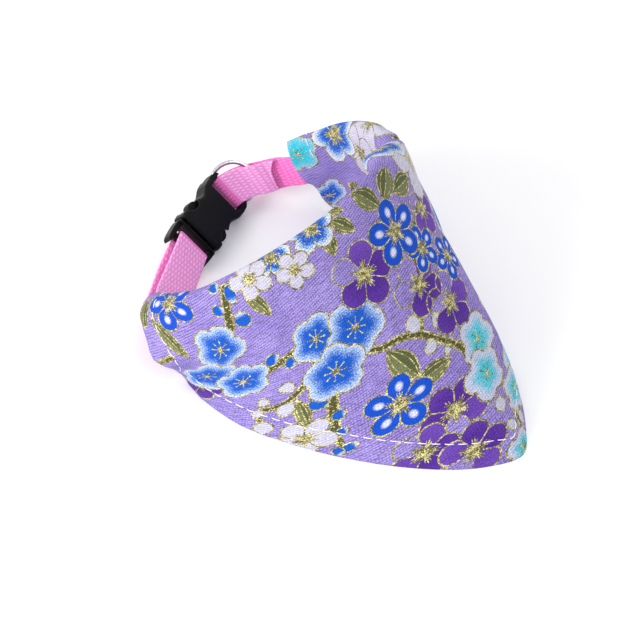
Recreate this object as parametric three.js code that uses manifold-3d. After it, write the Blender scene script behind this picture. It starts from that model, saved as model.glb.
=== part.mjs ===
// A small dog's bandana collar, standing by itself on a table with its buckle fastened.
// Millimetres, +Z up, the table at z = 0. The bandana's point looks along -Y and the buckle lies at +Y.
import * as THREE from 'three';
import { mergeVertices } from 'three/addons/utils/BufferGeometryUtils.js';
import Module from 'manifold-3d';

const wasm = await Module();
wasm.setup();

// ---- Driving dimensions ----
const COLLAR_RADIUS = 43.5; // of the webbing's middle, where it is a round arc
const COLLAR_TILT = 37.5; // degrees: the front of the loop is lifted off the table
const COLLAR_HEIGHT = 28; // of the loop's centre above the table
const WEBBING_WIDTH = 10;
const WEBBING_THICKNESS = 1.2;
const LAYER_GAP = 0.4; // between two layers of webbing that lie on each other
const CLOTH_THICKNESS = 1.1; // two hemmed layers of printed cotton
const SEAM_DROP = 9.5; // of the casing's seam below the collar line
const BUCKLE_WIDTH = 16.2;
const SOCKET_LENGTH = 23.5;
const SOCKET_THICKNESS = 6.2;
const PLUG_REACH = 6.8; // how far the plug's strap end stands out of the socket
const BAR_RADIUS = 1.1; // of each bar that the webbing is folded round
const FIT = 0.35; // between plug and socket
const RING_RADIUS = 6.9; // of the wire's centre line
const WIRE_RADIUS = 0.75;
const STAND = new THREE.Vector3(2.8, 27.88, -0.07); // sets the origin under the middle of the whole object

// ---- The collar's frame: an arc in a tilted plane ----
const radians = THREE.MathUtils.degToRad;
const tilt = radians(COLLAR_TILT);
const FRONT = new THREE.Vector3(0, -Math.cos(tilt), Math.sin(tilt));
const SIDE = new THREE.Vector3(1, 0, 0);
const AXIS = new THREE.Vector3(0, Math.sin(tilt), Math.cos(tilt));
const CENTRE = new THREE.Vector3(0, 0, COLLAR_HEIGHT);

// The outward direction at a turn in degrees: 0 is the front, 90 is the +X side.
function outward(turn) {
  const a = radians(turn);
  return FRONT.clone().multiplyScalar(Math.cos(a)).addScaledVector(SIDE, Math.sin(a));
}

// A point beside the collar line: out is away from the neck, rise is along the loop's axis.
function beside(turn, out, rise) {
  return CENTRE.clone().addScaledVector(outward(turn), COLLAR_RADIUS + out).addScaledVector(AXIS, rise);
}

// Smooth interpolation of a table's columns over its turn column.
function atTurn(table, turn, columns) {
  let i = 0;
  while (i < table.length - 2 && table[i + 1].turn < turn) i += 1;
  const rows = [-1, 0, 1, 2].map((k) => table[Math.min(Math.max(i + k, 0), table.length - 1)]);
  const [a, b, c, d] = rows.map((row) => row.turn);
  const span = c - b;
  const t = (turn - b) / span;
  const ease = 3 * t ** 2 - 2 * t ** 3;
  const weights = [1 - ease, t ** 3 - 2 * t ** 2 + t, ease, t ** 3 - t ** 2];
  return columns.map((name) => {
    const [before, from, to, after] = rows.map((row) => row[name]);
    const slopes = [(to - before) / (c - a), (after - from) / (d - b)];
    const bent = weights[1] * slopes[0] + weights[3] * slopes[1];
    return weights[0] * from + weights[2] * to + bent * span;
  });
}

// ---- Mesh helpers ----
function meshOf(points, triangles) {
  const geometry = new THREE.BufferGeometry();
  geometry.setAttribute('position', new THREE.Float32BufferAttribute(points.flatMap((p) => p.toArray()), 3));
  geometry.setIndex(triangles.flat());
  return geometry;
}

// Triangles between consecutive closed loops of point numbers.
function skin(loops, flip) {
  const triangles = [];
  for (let i = 0; i + 1 < loops.length; i += 1) {
    const near = loops[i];
    const far = loops[i + 1];
    for (let j = 0; j < near.length; j += 1) {
      const k = (j + 1) % near.length;
      const quad = [[near[j], far[j], far[k]], [near[j], far[k], near[k]]];
      triangles.push(...(flip ? quad.map((t) => t.reverse()) : quad));
    }
  }
  return triangles;
}

// manifold-3d joins and cuts closed three.js geometries.
function solidOf(geometry) {
  const bare = geometry.clone();
  bare.deleteAttribute('normal');
  bare.deleteAttribute('uv');
  const merged = mergeVertices(bare, 1e-4);
  return new wasm.Manifold(new wasm.Mesh({
    numProp: 3,
    vertProperties: new Float32Array(merged.attributes.position.array),
    triVerts: new Uint32Array(merged.index.array),
  }));
}

function geometryOf(solid) {
  const { vertProperties, triVerts } = solid.getMesh();
  const geometry = new THREE.BufferGeometry();
  geometry.setAttribute('position', new THREE.BufferAttribute(vertProperties, 3));
  geometry.setIndex(new THREE.BufferAttribute(triVerts, 1));
  return geometry;
}

const join = (...solids) => solids.reduce((all, next) => all.add(next));
const cut = (from, ...tools) => tools.reduce((left, tool) => left.subtract(tool), from);

// A box between two corners.
function block([x0, y0, z0], [x1, y1, z1]) {
  const box = new THREE.BoxGeometry(x1 - x0, y1 - y0, z1 - z0);
  return solidOf(box.translate((x0 + x1) / 2, (y0 + y1) / 2, (z0 + z1) / 2));
}

// A flat outline pulled up to a thickness about z = 0, with its edges eased by a bevel.
function plate(shape, thickness, bevel) {
  const depth = thickness - 2 * bevel;
  const edges = { bevelThickness: bevel, bevelSize: bevel, bevelOffset: -bevel, bevelSegments: 2 };
  const pulled = new THREE.ExtrudeGeometry(shape, { depth, curveSegments: 6, ...edges });
  return solidOf(pulled.translate(0, 0, -depth / 2));
}

// ---- The bandana ----
// Where the hem lies below each turn of the collar: x and y from the loop's centre, z above the table.
// belly is how far the wall swells outward below the casing, girth the half thickness of the tunnel,
// fold how far the top fold stands above the collar line, and flare how far the seam leans out from it.
const CLOTH = [
  { turn: -107, x: -48.2, y: 4.5, z: 8.0, belly: 0.6, girth: 3.4, fold: 7.4, flare: 5.4 },
  { turn: -101, x: -47.0, y: 2.8, z: 5.8, belly: 0.9, girth: 3.3, fold: 7.5, flare: 4.6 },
  { turn: -95, x: -45.6, y: 1.3, z: 3.6, belly: 1.0, girth: 3.1, fold: 7.6, flare: 3.4 },
  { turn: -89, x: -44.9, y: -0.4, z: 1.4, belly: 1.0, girth: 2.8, fold: 7.8, flare: 2.2 },
  { turn: -83, x: -46.4, y: -3.6, z: 0.2, belly: 1.0, girth: 2.4, fold: 7.9, flare: 1.2 },
  { turn: -75, x: -48.2, y: -10.0, z: 0.1, belly: 1.5, girth: 2.0, fold: 8.0, flare: 0.4 },
  { turn: -62, x: -49.2, y: -25.0, z: 0.1, belly: 2.0, girth: 1.6, fold: 8.3, flare: 0 },
  { turn: -46, x: -45.0, y: -44.3, z: 0.1, belly: 2.5, girth: 1.6, fold: 8.6, flare: 0 },
  { turn: -30, x: -37.2, y: -64.5, z: 0.1, belly: 2.5, girth: 1.6, fold: 8.9, flare: 0 },
  { turn: -15, x: -27.0, y: -82.0, z: 0.1, belly: 2.5, girth: 1.6, fold: 8.9, flare: 0 },
  { turn: -5, x: -17.7, y: -92.0, z: 0.1, belly: 2.5, girth: 1.6, fold: 8.9, flare: 0 },
  { turn: 2, x: -9.7, y: -96.3, z: 0.1, belly: 2.5, girth: 1.6, fold: 8.9, flare: 0 },
  { turn: 9, x: -1.0, y: -91.6, z: 0.1, belly: 2.0, girth: 1.6, fold: 8.9, flare: 0 },
  { turn: 20, x: 9.2, y: -82.6, z: 0.1, belly: 1.5, girth: 1.6, fold: 8.7, flare: 0 },
  { turn: 36, x: 20.0, y: -67.6, z: 0.1, belly: 0.6, girth: 1.6, fold: 8.4, flare: -0.6 },
  { turn: 54, x: 29.4, y: -49.8, z: 0.1, belly: -0.8, girth: 1.6, fold: 8.0, flare: -2.2 },
  { turn: 72, x: 36.5, y: -31.0, z: 0.1, belly: -1.5, girth: 1.6, fold: 7.8, flare: -3.0 },
  { turn: 90, x: 40.5, y: -12.5, z: 0.3, belly: -0.6, girth: 1.6, fold: 7.8, flare: -2.2 },
  { turn: 106, x: 38.0, y: 3.5, z: 1.8, belly: 0.3, girth: 1.8, fold: 8.0, flare: -0.4 },
  { turn: 121, x: 37.5, y: 15.6, z: 5.0, belly: 0.3, girth: 2.5, fold: 8.2, flare: 0 },
];
const CLOTH_START = CLOTH[0].turn;
const CLOTH_END = CLOTH[CLOTH.length - 1].turn;
// Half of the casing's section, from the fold down: out is in parts of its half thickness, and the rise
// is either above the collar line or, near the fold, down from the fold.
const CASING = [
  { out: 0.0, belowFold: 0 },
  { out: 0.62, belowFold: 1.1 },
  { out: 0.96, rise: 4.5 },
  { out: 1.0, rise: 0 },
  { out: 0.97, rise: -5 },
];
const WALL_STEPS = 9;
const STATIONS = 60;

// The outer face of the wall below the casing, from the seam (0) to the hem (1).
function wallPoint(turn, along) {
  const [x, y, z, belly, girth, flare] = atTurn(CLOTH, turn, ['x', 'y', 'z', 'belly', 'girth', 'flare']);
  const top = beside(turn, girth + CLOTH_THICKNESS - 0.2 + flare, -SEAM_DROP);
  const foot = new THREE.Vector3(x, y, z);
  const reach = top.distanceTo(foot);
  const upper = top.clone().addScaledVector(AXIS, -0.34 * reach).addScaledVector(outward(turn), 0.3 * belly);
  const lower = foot.clone().lerp(top, 0.34).addScaledVector(outward(turn), belly);
  return new THREE.CubicBezierCurve3(top, upper, lower, foot).getPoint(along);
}

function wallNormal(turn, along) {
  const [before, after] = [Math.max(turn - 1, CLOTH_START), Math.min(turn + 1, CLOTH_END)];
  const [above, below] = [Math.max(along - 0.02, 0), Math.min(along + 0.02, 1)];
  const across = wallPoint(after, along).sub(wallPoint(before, along));
  return wallPoint(turn, below).sub(wallPoint(turn, above)).cross(across).normalize();
}

// How far the casing's section leans out per millimetre down from its fold.
function slant(turn) {
  const [fold, flare] = atTurn(CLOTH, turn, ['fold', 'flare']);
  return { fold, lean: flare / (fold + SEAM_DROP) };
}

function bandanaGeometry() {
  const points = [];
  const drawing = []; // every point's place in a plain drawing of the section, for the end caps
  const place = (point, out, rise) => {
    drawing.push(new THREE.Vector2(out, rise));
    return points.push(point) - 1;
  };
  const skins = [];
  const tunnels = [];
  for (let i = 0; i <= STATIONS; i += 1) {
    const turn = CLOTH_START + ((CLOTH_END - CLOTH_START) * i) / STATIONS;
    const [girth] = atTurn(CLOTH, turn, ['girth']);
    const { fold, lean } = slant(turn);
    const outer = girth + CLOTH_THICKNESS;
    const at = (out, rise) => place(beside(turn, out + lean * (fold - rise), rise), out, rise);
    const riseOf = (row, inset) => row.rise ?? fold - row.belowFold - inset;
    const outline = [];
    for (let j = WALL_STEPS; j >= 0; j -= 1) {
      outline.push(place(wallPoint(turn, j / WALL_STEPS), outer, -SEAM_DROP - 2 * j));
    }
    for (const row of [...CASING].reverse()) outline.push(at(row.out * outer, riseOf(row, 0)));
    for (const row of CASING.slice(1)) outline.push(at(-row.out * outer, riseOf(row, 0)));
    outline.push(at(-outer * 0.55, -SEAM_DROP + 0.6));
    for (let j = 1; j <= WALL_STEPS; j += 1) {
      const inside = wallPoint(turn, j / WALL_STEPS);
      inside.addScaledVector(wallNormal(turn, j / WALL_STEPS), -CLOTH_THICKNESS);
      inside.z = Math.max(inside.z, 0.1);
      outline.push(place(inside, girth, -SEAM_DROP - 2 * j));
    }
    skins.push(outline);
    const hole = [...CASING].reverse().map((row) => at(row.out * girth, riseOf(row, CLOTH_THICKNESS)));
    hole.push(...CASING.slice(1).map((row) => at(-row.out * girth, riseOf(row, CLOTH_THICKNESS))));
    for (const out of [-0.75, 0.75]) hole.push(at(out * girth, -SEAM_DROP + 1.2));
    tunnels.push(hole);
  }
  const triangles = [...skin(skins, false), ...skin(tunnels, true)];
  for (const [end, flip] of [[0, false], [STATIONS, true]]) {
    const numbers = [...skins[end], ...tunnels[end]];
    const [outline, hole] = [skins[end], tunnels[end]].map((loop) => loop.map((n) => drawing[n]));
    const faces = THREE.ShapeUtils.triangulateShape(outline, [hole]);
    triangles.push(...faces.map((face) => (flip ? face.reverse() : face).map((k) => numbers[k])));
  }
  return meshOf(points, triangles);
}

// ---- The buckle's frame: x towards the socket's strap end, y to the upper edge, z to the neck ----
const BUCKLE_MIDDLE = new THREE.Vector3(5.0, 30.4, 7.9);
const BUCKLE_ALONG = new THREE.Vector3(0.976, 0.205, -0.03).normalize();
const BUCKLE_LEAN = new THREE.Vector3(0, 0.76, 0.65);
const buckleFrame = (() => {
  const inward = new THREE.Vector3().crossVectors(BUCKLE_ALONG, BUCKLE_LEAN).normalize();
  const upper = new THREE.Vector3().crossVectors(inward, BUCKLE_ALONG);
  const mouth = BUCKLE_MIDDLE.clone().addScaledVector(BUCKLE_ALONG, -(SOCKET_LENGTH - PLUG_REACH) / 2);
  return new THREE.Matrix4().makeBasis(BUCKLE_ALONG, upper, inward).setPosition(mouth);
})();
const onBuckle = (x, y, z) => new THREE.Vector3(x, y, z).applyMatrix4(buckleFrame);
const buckleUpper = new THREE.Vector3().setFromMatrixColumn(buckleFrame, 1);
const SOCKET_BAR = SOCKET_LENGTH - BAR_RADIUS - 0.1;
const PLUG_BAR = -PLUG_REACH + BAR_RADIUS + 0.1;
const SLOT_HALF = WEBBING_WIDTH / 2 + 1.0;
const SLOT_START = SOCKET_LENGTH - 6.6;
const WELL = SOCKET_THICKNESS - 2.4; // the hollow's height
const RAIL_THICKNESS = 4.8; // of the rails beside the webbing
const RAIL_BACK = 1.2; // how far the socket's rails reach away from the neck
const CLEAR = 5; // how far a cutting block stands past what it cuts

// A rod across the buckle that the webbing is folded round.
function bar(x) {
  const rod = new THREE.CylinderGeometry(BAR_RADIUS, BAR_RADIUS, 2 * SLOT_HALF + 0.6, 14);
  return solidOf(rod.translate(x, 0, 0));
}

// Half of an outline as (x, y) stops, mirrored in y.
function mirrored(stops) {
  const all = [...stops, ...stops.map(([x, y]) => [x, -y]).reverse()];
  return new THREE.Shape(all.map(([x, y]) => new THREE.Vector2(x, y)));
}

// The socket: waisted, hollow at its mouth, with a side window for each spring arm and a slot for webbing.
function socketGeometry() {
  const half = BUCKLE_WIDTH / 2;
  const outline = mirrored([
    [0, half - 0.4], [1.2, half], [5, half], [8.5, half - 0.6], [11, half - 1.7], [12.5, half - 1.8],
    [14, half - 1.3], [16, half - 0.5], [SOCKET_LENGTH - 1.5, half - 0.4], [SOCKET_LENGTH, half - 1.4],
  ]);
  const body = plate(outline, SOCKET_THICKNESS, 0.7);
  const hollow = block([-1, -half + 1.5, -WELL / 2], [11.5, half - 1.5, WELL / 2]);
  const windows = block([2.4, -half - 1, -WELL / 2], [9.6, half + 1, WELL / 2]);
  const opening = block([SLOT_START, -SLOT_HALF, -CLEAR], [SOCKET_LENGTH + 1, SLOT_HALF, CLEAR]);
  const step = SLOT_START + 1.5; // the body's slope down to the rails
  const above = block([step, -half - 1, RAIL_THICKNESS / 2], [SOCKET_LENGTH + 1, half + 1, CLEAR]);
  const below = block([step, -half - 1, -CLEAR], [SOCKET_LENGTH + 1, half + 1, -RAIL_BACK]);
  return geometryOf(join(cut(body, hollow, windows, opening, above, below), bar(SOCKET_BAR)));
}

// The plug: a strap end with its bar and side rails, two spring arms bowed out to the windows, and a guide.
function plugGeometry() {
  const half = BUCKLE_WIDTH / 2;
  const end = mirrored([
    [-PLUG_REACH, half - 2], [-PLUG_REACH + 1.5, half - 0.6], [-1, half - 0.4], [-FIT, half - 0.9],
  ]);
  const head = plate(end, RAIL_THICKNESS, 0.7);
  const opening = block([-PLUG_REACH - 1, -SLOT_HALF, -CLEAR], [-1.6, SLOT_HALF, CLEAR]);
  const arm = (side) => {
    const outline = new THREE.Shape([
      [-1, 3.2], [2.8, 4.4], [5.2, half - 0.7], [7.6, half - 0.8], [9.2, half - 2.4], [9.2, half - 3.9],
      [7.0, half - 2.9], [5.0, 4.2], [2.8, 2.6], [-1, 1.4],
    ].map(([x, y]) => new THREE.Vector2(x, side * y)));
    return plate(outline, WELL - 2 * FIT, 0.4);
  };
  const guide = block([-1, -0.6, -WELL / 2 + FIT], [8, 0.6, WELL / 2 - FIT]);
  return geometryOf(join(cut(head, opening), bar(PLUG_BAR), arm(1), arm(-1), guide));
}

// ---- The webbing ----
// One strip: from the sewn end, round the socket's bar, on through the casing, round the plug's bar and
// back into the casing. A frame is a point of its middle with the direction of its upper edge.
const vector = (x, y, z) => new THREE.Vector3(x, y, z);
const onBar = (x) => ({ point: onBuckle(x, 0, 0), upper: buckleUpper });
const RISES = [
  { turn: -107, rise: -1.0 },
  { turn: -60, rise: 0.5 },
  { turn: 0, rise: 1.4 },
  { turn: 60, rise: 0.5 },
  { turn: 121, rise: -2.5 },
];
// On the arc the webbing leans as the casing does; out is how far it lies off the casing's middle.
function onArc(turn, out = 0) {
  const [rise] = atTurn(RISES, turn, ['rise']);
  const { fold, lean } = slant(turn);
  const point = beside(turn, out + lean * (fold - rise), rise);
  return { point, upper: AXIS.clone().addScaledVector(outward(turn), -lean).normalize() };
}
const RIGHT_RUN = [
  onArc(CLOTH_END - 8),
  onArc(CLOTH_END),
  { point: vector(33.6, 23.8, 9.0), upper: vector(0.1, 0.64, 0.76) },
  { point: vector(29.6, 27.8, 7.9), upper: vector(0.05, 0.7, 0.7) },
  { point: vector(25.2, 31.4, 7.4), upper: vector(0.02, 0.74, 0.67) },
  onBar(SOCKET_BAR),
];
const LEFT_RUN = [
  onBar(PLUG_BAR),
  { point: vector(-17.0, 23.9, 8.2), upper: vector(-0.15, 0.8, 0.58) },
  { point: vector(-27.4, 19.1, 9.6), upper: vector(-0.3, 0.8, 0.5) },
  { point: vector(-34.0, 15.8, 12.2), upper: vector(-0.2, 0.74, 0.6) },
  onArc(CLOTH_START),
  onArc(CLOTH_START + 12),
];
const BAR_LIFT = BAR_RADIUS + 0.37 + WEBBING_THICKNESS / 2; // of the webbing's middle over a bar's
const SEWN_LIFT = (WEBBING_THICKNESS + LAYER_GAP) / 2; // of each of two layers that lie on each other
const RING_LIFT = WIRE_RADIUS + 0.9 + WEBBING_THICKNESS / 2; // of each of two layers round the wire
const SEWN_SHARE = 0.3; // share of the right run where the folded-back layer is sewn down
const RING_CROSSING = 0.68; // share of the right run where the ring's wire crosses it
const RING_RISE = 3.2; // how far the ring has slid up along the webbing's width
const RING_REST = new THREE.Vector3(19, -0.7, -8.0); // where the ring's far side lies, behind the socket

// Frames along a run from one share of it to another; lift(t) is how far the layer lies towards the neck.
function layer(run, from, to, steps, lift) {
  const middle = new THREE.CatmullRomCurve3(run.map((frame) => frame.point), false, 'centripetal');
  const edge = new THREE.CatmullRomCurve3(run.map((frame) => frame.upper), false, 'centripetal');
  const heading = middle.getTangent(0.5).cross(edge.getPoint(0.5));
  const inward = Math.sign(heading.dot(CENTRE.clone().sub(middle.getPoint(0.5))));
  return Array.from({ length: steps + 1 }, (_, i) => {
    const t = from + ((to - from) * i) / steps;
    const upper = edge.getPoint(t).normalize();
    const normal = middle.getTangent(t).cross(upper).normalize();
    return { point: middle.getPoint(t).addScaledVector(normal, inward * lift(t)), upper };
  });
}

// Half a turn round a bar of the buckle, from its neck side; side is +1 or -1 along the buckle.
function aroundBar(x, side) {
  return [1, 2, 3, 4, 5, 6, 7].map((i) => {
    const a = (Math.PI * i) / 8;
    const point = onBuckle(x + side * BAR_LIFT * Math.sin(a), 0, BAR_LIFT * Math.cos(a));
    return { point, upper: buckleUpper };
  });
}

// A lift that changes smoothly between stops of (share of the run, lift).
function stops(...pairs) {
  const table = pairs.map(([turn, lift]) => ({ turn, lift }));
  return (t) => atTurn(table, t, ['lift'])[0];
}

function webbingFrames() {
  const sewn = [[SEWN_SHARE, SEWN_LIFT], [SEWN_SHARE + 0.15, SEWN_LIFT + 0.2]];
  const overRing = [[RING_CROSSING - 0.06, RING_LIFT], [RING_CROSSING + 0.08, RING_LIFT]];
  const rightLift = stops([0, 0], [SEWN_SHARE / 2, 0], ...sewn, ...overRing, [1, BAR_LIFT]);
  const leftLift = stops([0, BAR_LIFT], [0.3, 2.3], [0.6, 2.0], [0.8, SEWN_LIFT + 0.4], [1, SEWN_LIFT]);
  const arcSteps = 44;
  const arc = Array.from({ length: arcSteps + 1 }, (_, i) => {
    const turn = CLOTH_END - 8 - ((CLOTH_END - CLOTH_START - 20) * i) / arcSteps;
    return onArc(turn, -SEWN_LIFT * (i / arcSteps) ** 4);
  });
  return [
    ...layer(RIGHT_RUN, SEWN_SHARE, 1, 16, rightLift),
    ...aroundBar(SOCKET_BAR, -1),
    ...layer(RIGHT_RUN, 1, 0, 24, (t) => -rightLift(t)),
    ...arc.slice(1, -1),
    ...layer(LEFT_RUN, 1, 0, 26, leftLift),
    ...aroundBar(PLUG_BAR, 1),
    ...layer(LEFT_RUN, 0, 1, 26, (t) => -leftLift(t)),
  ];
}

// A flat strip through frames, square-edged, with its width along each frame's upper direction.
function stripGeometry(frames, width, thickness) {
  const points = [];
  const loops = frames.map(({ point, upper }, i) => {
    const before = frames[Math.max(i - 1, 0)].point;
    const after = frames[Math.min(i + 1, frames.length - 1)].point;
    const normal = after.clone().sub(before).cross(upper).normalize().multiplyScalar(thickness / 2);
    const across = upper.clone().normalize().multiplyScalar(width / 2);
    const corners = [[1, 1], [1, -1], [-1, -1], [-1, 1]];
    return corners.map(([u, n]) => points.push(
      point.clone().addScaledVector(across, u).addScaledVector(normal, n),
    ) - 1);
  });
  const [a, b, c, d] = loops[0];
  const [e, f, g, h] = loops[loops.length - 1];
  return meshOf(points, [...skin(loops, false), [a, b, c], [a, c, d], [e, g, f], [e, h, g]]);
}

// ---- The ring: its wire crosses between the two layers, and its free side lies behind the socket ----
function ringGeometry() {
  const middle = new THREE.CatmullRomCurve3(RIGHT_RUN.map((frame) => frame.point), false, 'centripetal');
  const edge = new THREE.CatmullRomCurve3(RIGHT_RUN.map((frame) => frame.upper), false, 'centripetal');
  const width = edge.getPoint(RING_CROSSING).normalize();
  const crossing = middle.getPoint(RING_CROSSING).addScaledVector(width, RING_RISE);
  const behind = onBuckle(RING_REST.x, RING_REST.y, RING_REST.z);
  const across = behind.sub(crossing).normalize();
  const through = across.clone().cross(width).normalize();
  const frame = new THREE.Matrix4().makeBasis(across, through.clone().cross(across), through);
  frame.setPosition(crossing.addScaledVector(across, RING_RADIUS - 0.5));
  return new THREE.TorusGeometry(RING_RADIUS, WIRE_RADIUS, 10, 36).applyMatrix4(frame);
}

const object = new THREE.Group();
function mesh(name, geometry, colour, roughness, metalness) {
  const finish = new THREE.MeshStandardMaterial({ color: colour, roughness, metalness });
  const made = new THREE.Mesh(geometry, finish);
  made.name = name;
  object.add(made);
  return made;
}
mesh('bandana', bandanaGeometry(), 0xa593d6, 0.9, 0);
mesh('buckle_socket', socketGeometry().applyMatrix4(buckleFrame), 0x141416, 0.35, 0);
mesh('webbing', stripGeometry(webbingFrames(), WEBBING_WIDTH, WEBBING_THICKNESS), 0xf08cc8, 0.8, 0);
mesh('buckle_plug', plugGeometry().applyMatrix4(buckleFrame), 0x141416, 0.35, 0);
mesh('ring', ringGeometry(), 0xd8d8dc, 0.2, 1);
object.position.copy(STAND);

export default object;
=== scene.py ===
"""A small dog's bandana on its own collar: printed cotton, pink webbing, a side-release buckle and a ring.

Lengths are written in millimetres and turned into metres (MM) where a mesh is made.
"""

import math

import bmesh
import bpy
import numpy as np
from mathutils import Matrix, Vector


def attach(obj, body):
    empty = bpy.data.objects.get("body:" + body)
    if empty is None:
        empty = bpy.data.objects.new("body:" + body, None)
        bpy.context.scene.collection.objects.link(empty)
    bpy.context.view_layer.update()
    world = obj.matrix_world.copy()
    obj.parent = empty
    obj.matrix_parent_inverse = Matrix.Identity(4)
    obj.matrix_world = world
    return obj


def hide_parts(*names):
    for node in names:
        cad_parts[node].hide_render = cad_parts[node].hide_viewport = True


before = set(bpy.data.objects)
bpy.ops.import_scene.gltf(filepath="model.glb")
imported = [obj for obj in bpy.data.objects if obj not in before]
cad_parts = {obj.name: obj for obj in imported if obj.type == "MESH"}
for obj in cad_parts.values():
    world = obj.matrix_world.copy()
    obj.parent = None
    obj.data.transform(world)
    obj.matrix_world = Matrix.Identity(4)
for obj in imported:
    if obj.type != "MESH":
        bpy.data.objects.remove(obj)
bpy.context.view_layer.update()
MM = 0.001

# ---- Driving dimensions, as the construction has them ----
COLLAR_RADIUS = 43.5
COLLAR_TILT = math.radians(37.5)
COLLAR_CENTRE = np.array([2.8, 27.88, 27.93])
TABLE_CENTRE = np.array([2.8, 27.88, -0.07])
WEBBING_WIDTH = 10.0
WEBBING_THICKNESS = 1.2
LAYER_GAP = 0.4
WEBBING_STEP = 0.45
WALL = 1.1
SEAM_DROP = 9.5
COTTON = 0.5  # thickness of the cloth itself
HEM_WIDTH = 6.9
END_HEM_WIDTH = 7.8
TURNED_SHIFT = (-31.0, 17.0, 0.0)  # on the flat cloth, from a hem's face to its turned-up strip
THREAD = 0.16  # half its thickness

FRONT = np.array([0.0, -math.cos(COLLAR_TILT), math.sin(COLLAR_TILT)])
SIDE = np.array([1.0, 0.0, 0.0])
AXIS = np.array([0.0, math.sin(COLLAR_TILT), math.cos(COLLAR_TILT)])


# ---- Curves and tables ----
def unit(vectors):
    return vectors / np.linalg.norm(vectors, axis=-1, keepdims=True)


def from_table(table, at):
    """The table's other columns, smoothly interpolated over its first one."""
    table = np.asarray(table, float)
    at = np.asarray(at, float)
    last = len(table) - 1
    row = np.clip(np.searchsorted(table[:, 0], at) - 1, 0, last - 1)
    before, start, end, after = (table[np.clip(row + k, 0, last)] for k in (-1, 0, 1, 2))
    span = end[..., :1] - start[..., :1]
    t = (at[..., None] - start[..., :1]) / span
    rise = (end - before) / (end[..., :1] - before[..., :1]) * span
    fall = (after - start) / (after[..., :1] - start[..., :1]) * span
    ease = 3 * t**2 - 2 * t**3
    smooth = (1 - ease) * start + ease * end + (t**3 - 2 * t**2 + t) * rise + (t**3 - t**2) * fall
    return smooth[..., 1:]


def along_knots(knots, t):
    """Points of a centripetal Catmull-Rom curve through knots, at shares t of its stretches."""
    knots = np.asarray(knots, float)
    ends = 2 * knots[:1] - knots[1:2], 2 * knots[-1:] - knots[-2:-1]
    padded = np.concatenate([ends[0], knots, ends[1]])
    place = np.clip(np.asarray(t, float), 0, 1) * (len(knots) - 1)
    row = np.clip(place.astype(int), 0, len(knots) - 2)
    u = (place - row).reshape((-1,) + (1,) * (knots.ndim - 1))
    a, b, c, d = (padded[row + k] for k in range(4))
    steps = [np.linalg.norm(q - p, axis=-1, keepdims=True) for p, q in ((a, b), (b, c), (c, d))]
    before, here, after = (np.maximum(step, 1e-6) ** 0.5 for step in steps)
    leave = ((b - a) / before - (c - a) / (before + here) + (c - b) / here) * here
    arrive = ((c - b) / here - (d - b) / (here + after) + (d - c) / after) * here
    return b + leave * u + (3 * (c - b) - 2 * leave - arrive) * u**2 + (2 * (b - c) + leave + arrive) * u**3


def lengths_along(points):
    """Distance along each line of points, which runs over the first axis."""
    steps = np.linalg.norm(np.diff(points, axis=0), axis=-1)
    return np.concatenate([np.zeros((1,) + steps.shape[1:]), np.cumsum(steps, axis=0)])


def step_up(x, low, high):
    """0 below low, 1 above high, smooth between."""
    t = np.clip((x - low) / (high - low), 0, 1)
    return t * t * (3 - 2 * t)


def hump(x, middle, spread):
    """A smooth hump of height 1 at the middle."""
    return np.exp(-(((x - middle) / spread) ** 2))


def outward(turn):
    """Away from the neck, across the collar line, at a turn in degrees."""
    a = np.radians(np.asarray(turn, float))[..., None]
    return FRONT * np.cos(a) + SIDE * np.sin(a)


def beside(turn, out, rise):
    """A point beside the collar line: out is away from the neck, rise is along the loop's axis."""
    out, rise = (np.broadcast_to(v, np.shape(turn))[..., None] for v in (out, rise))
    return COLLAR_CENTRE + outward(turn) * (COLLAR_RADIUS + out) + AXIS * rise


# ---- The cloth's surface ----
# The hem below each turn of the collar. turn is in degrees round the loop from its front; x, y and z are
# the hem's place; belly is how far the wall swells; girth is half the tunnel's thickness; fold is the
# height of the top fold above the collar line; flare is how far the seam leans out from under it.
CLOTH = [
    # turn, x, y, z, belly, girth, fold, flare
    (-107, -48.9, 5.2, 8.2, 0.8, 4.0, 6.5, 5.4),
    (-101, -47.8, 3.6, 6.0, 1.1, 3.8, 6.8, 4.6),
    (-95, -46.5, 1.9, 3.8, 1.2, 3.4, 7.1, 3.4),
    (-89, -45.6, 0.0, 1.6, 1.2, 2.9, 7.3, 2.2),
    (-83, -46.6, -3.4, 0.2, 1.0, 2.4, 7.3, 1.2),
    (-75, -48.4, -9.8, 0.1, 1.5, 2.0, 7.3, 0.4),
    (-62, -49.2, -25.0, 0.1, 2.0, 1.6, 8.1, 0.0),
    (-46, -45.0, -44.3, 0.1, 2.5, 1.6, 8.6, 0.0),
    (-30, -37.2, -64.5, 0.1, 2.5, 1.6, 8.9, 0.0),
    (-15, -27.0, -82.0, 0.1, 2.5, 1.6, 8.9, 0.0),
    (-5, -17.7, -92.0, 0.1, 2.5, 1.6, 8.9, 0.0),
    (2, -9.7, -96.3, 0.1, 2.5, 1.6, 8.9, 0.0),
    (9, -1.0, -91.6, 0.1, 3.8, 1.6, 8.9, 0.0),
    (20, 9.2, -82.6, 0.1, 8.0, 1.6, 8.7, 0.0),
    (36, 20.0, -67.6, 0.1, -2.5, 1.6, 7.7, -0.6),
    (54, 29.4, -49.8, 0.1, -3.5, 1.6, 4.8, -2.6),
    (72, 36.5, -31.0, 0.1, -3.0, 1.6, 7.6, -3.0),
    (90, 40.5, -12.5, 0.3, -0.6, 1.6, 8.4, -2.2),
    (106, 38.0, 3.5, 0.9, 0.3, 1.6, 8.2, -0.4),
    (121, 37.5, 15.6, 3.0, 0.3, 1.9, 8.2, 0.0),
]
CLOTH_START, CLOTH_END = CLOTH[0][0], CLOTH[-1][0]
ACROSS = 0.785  # cloth millimetres to a degree of turn
COLUMNS = 229
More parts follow.
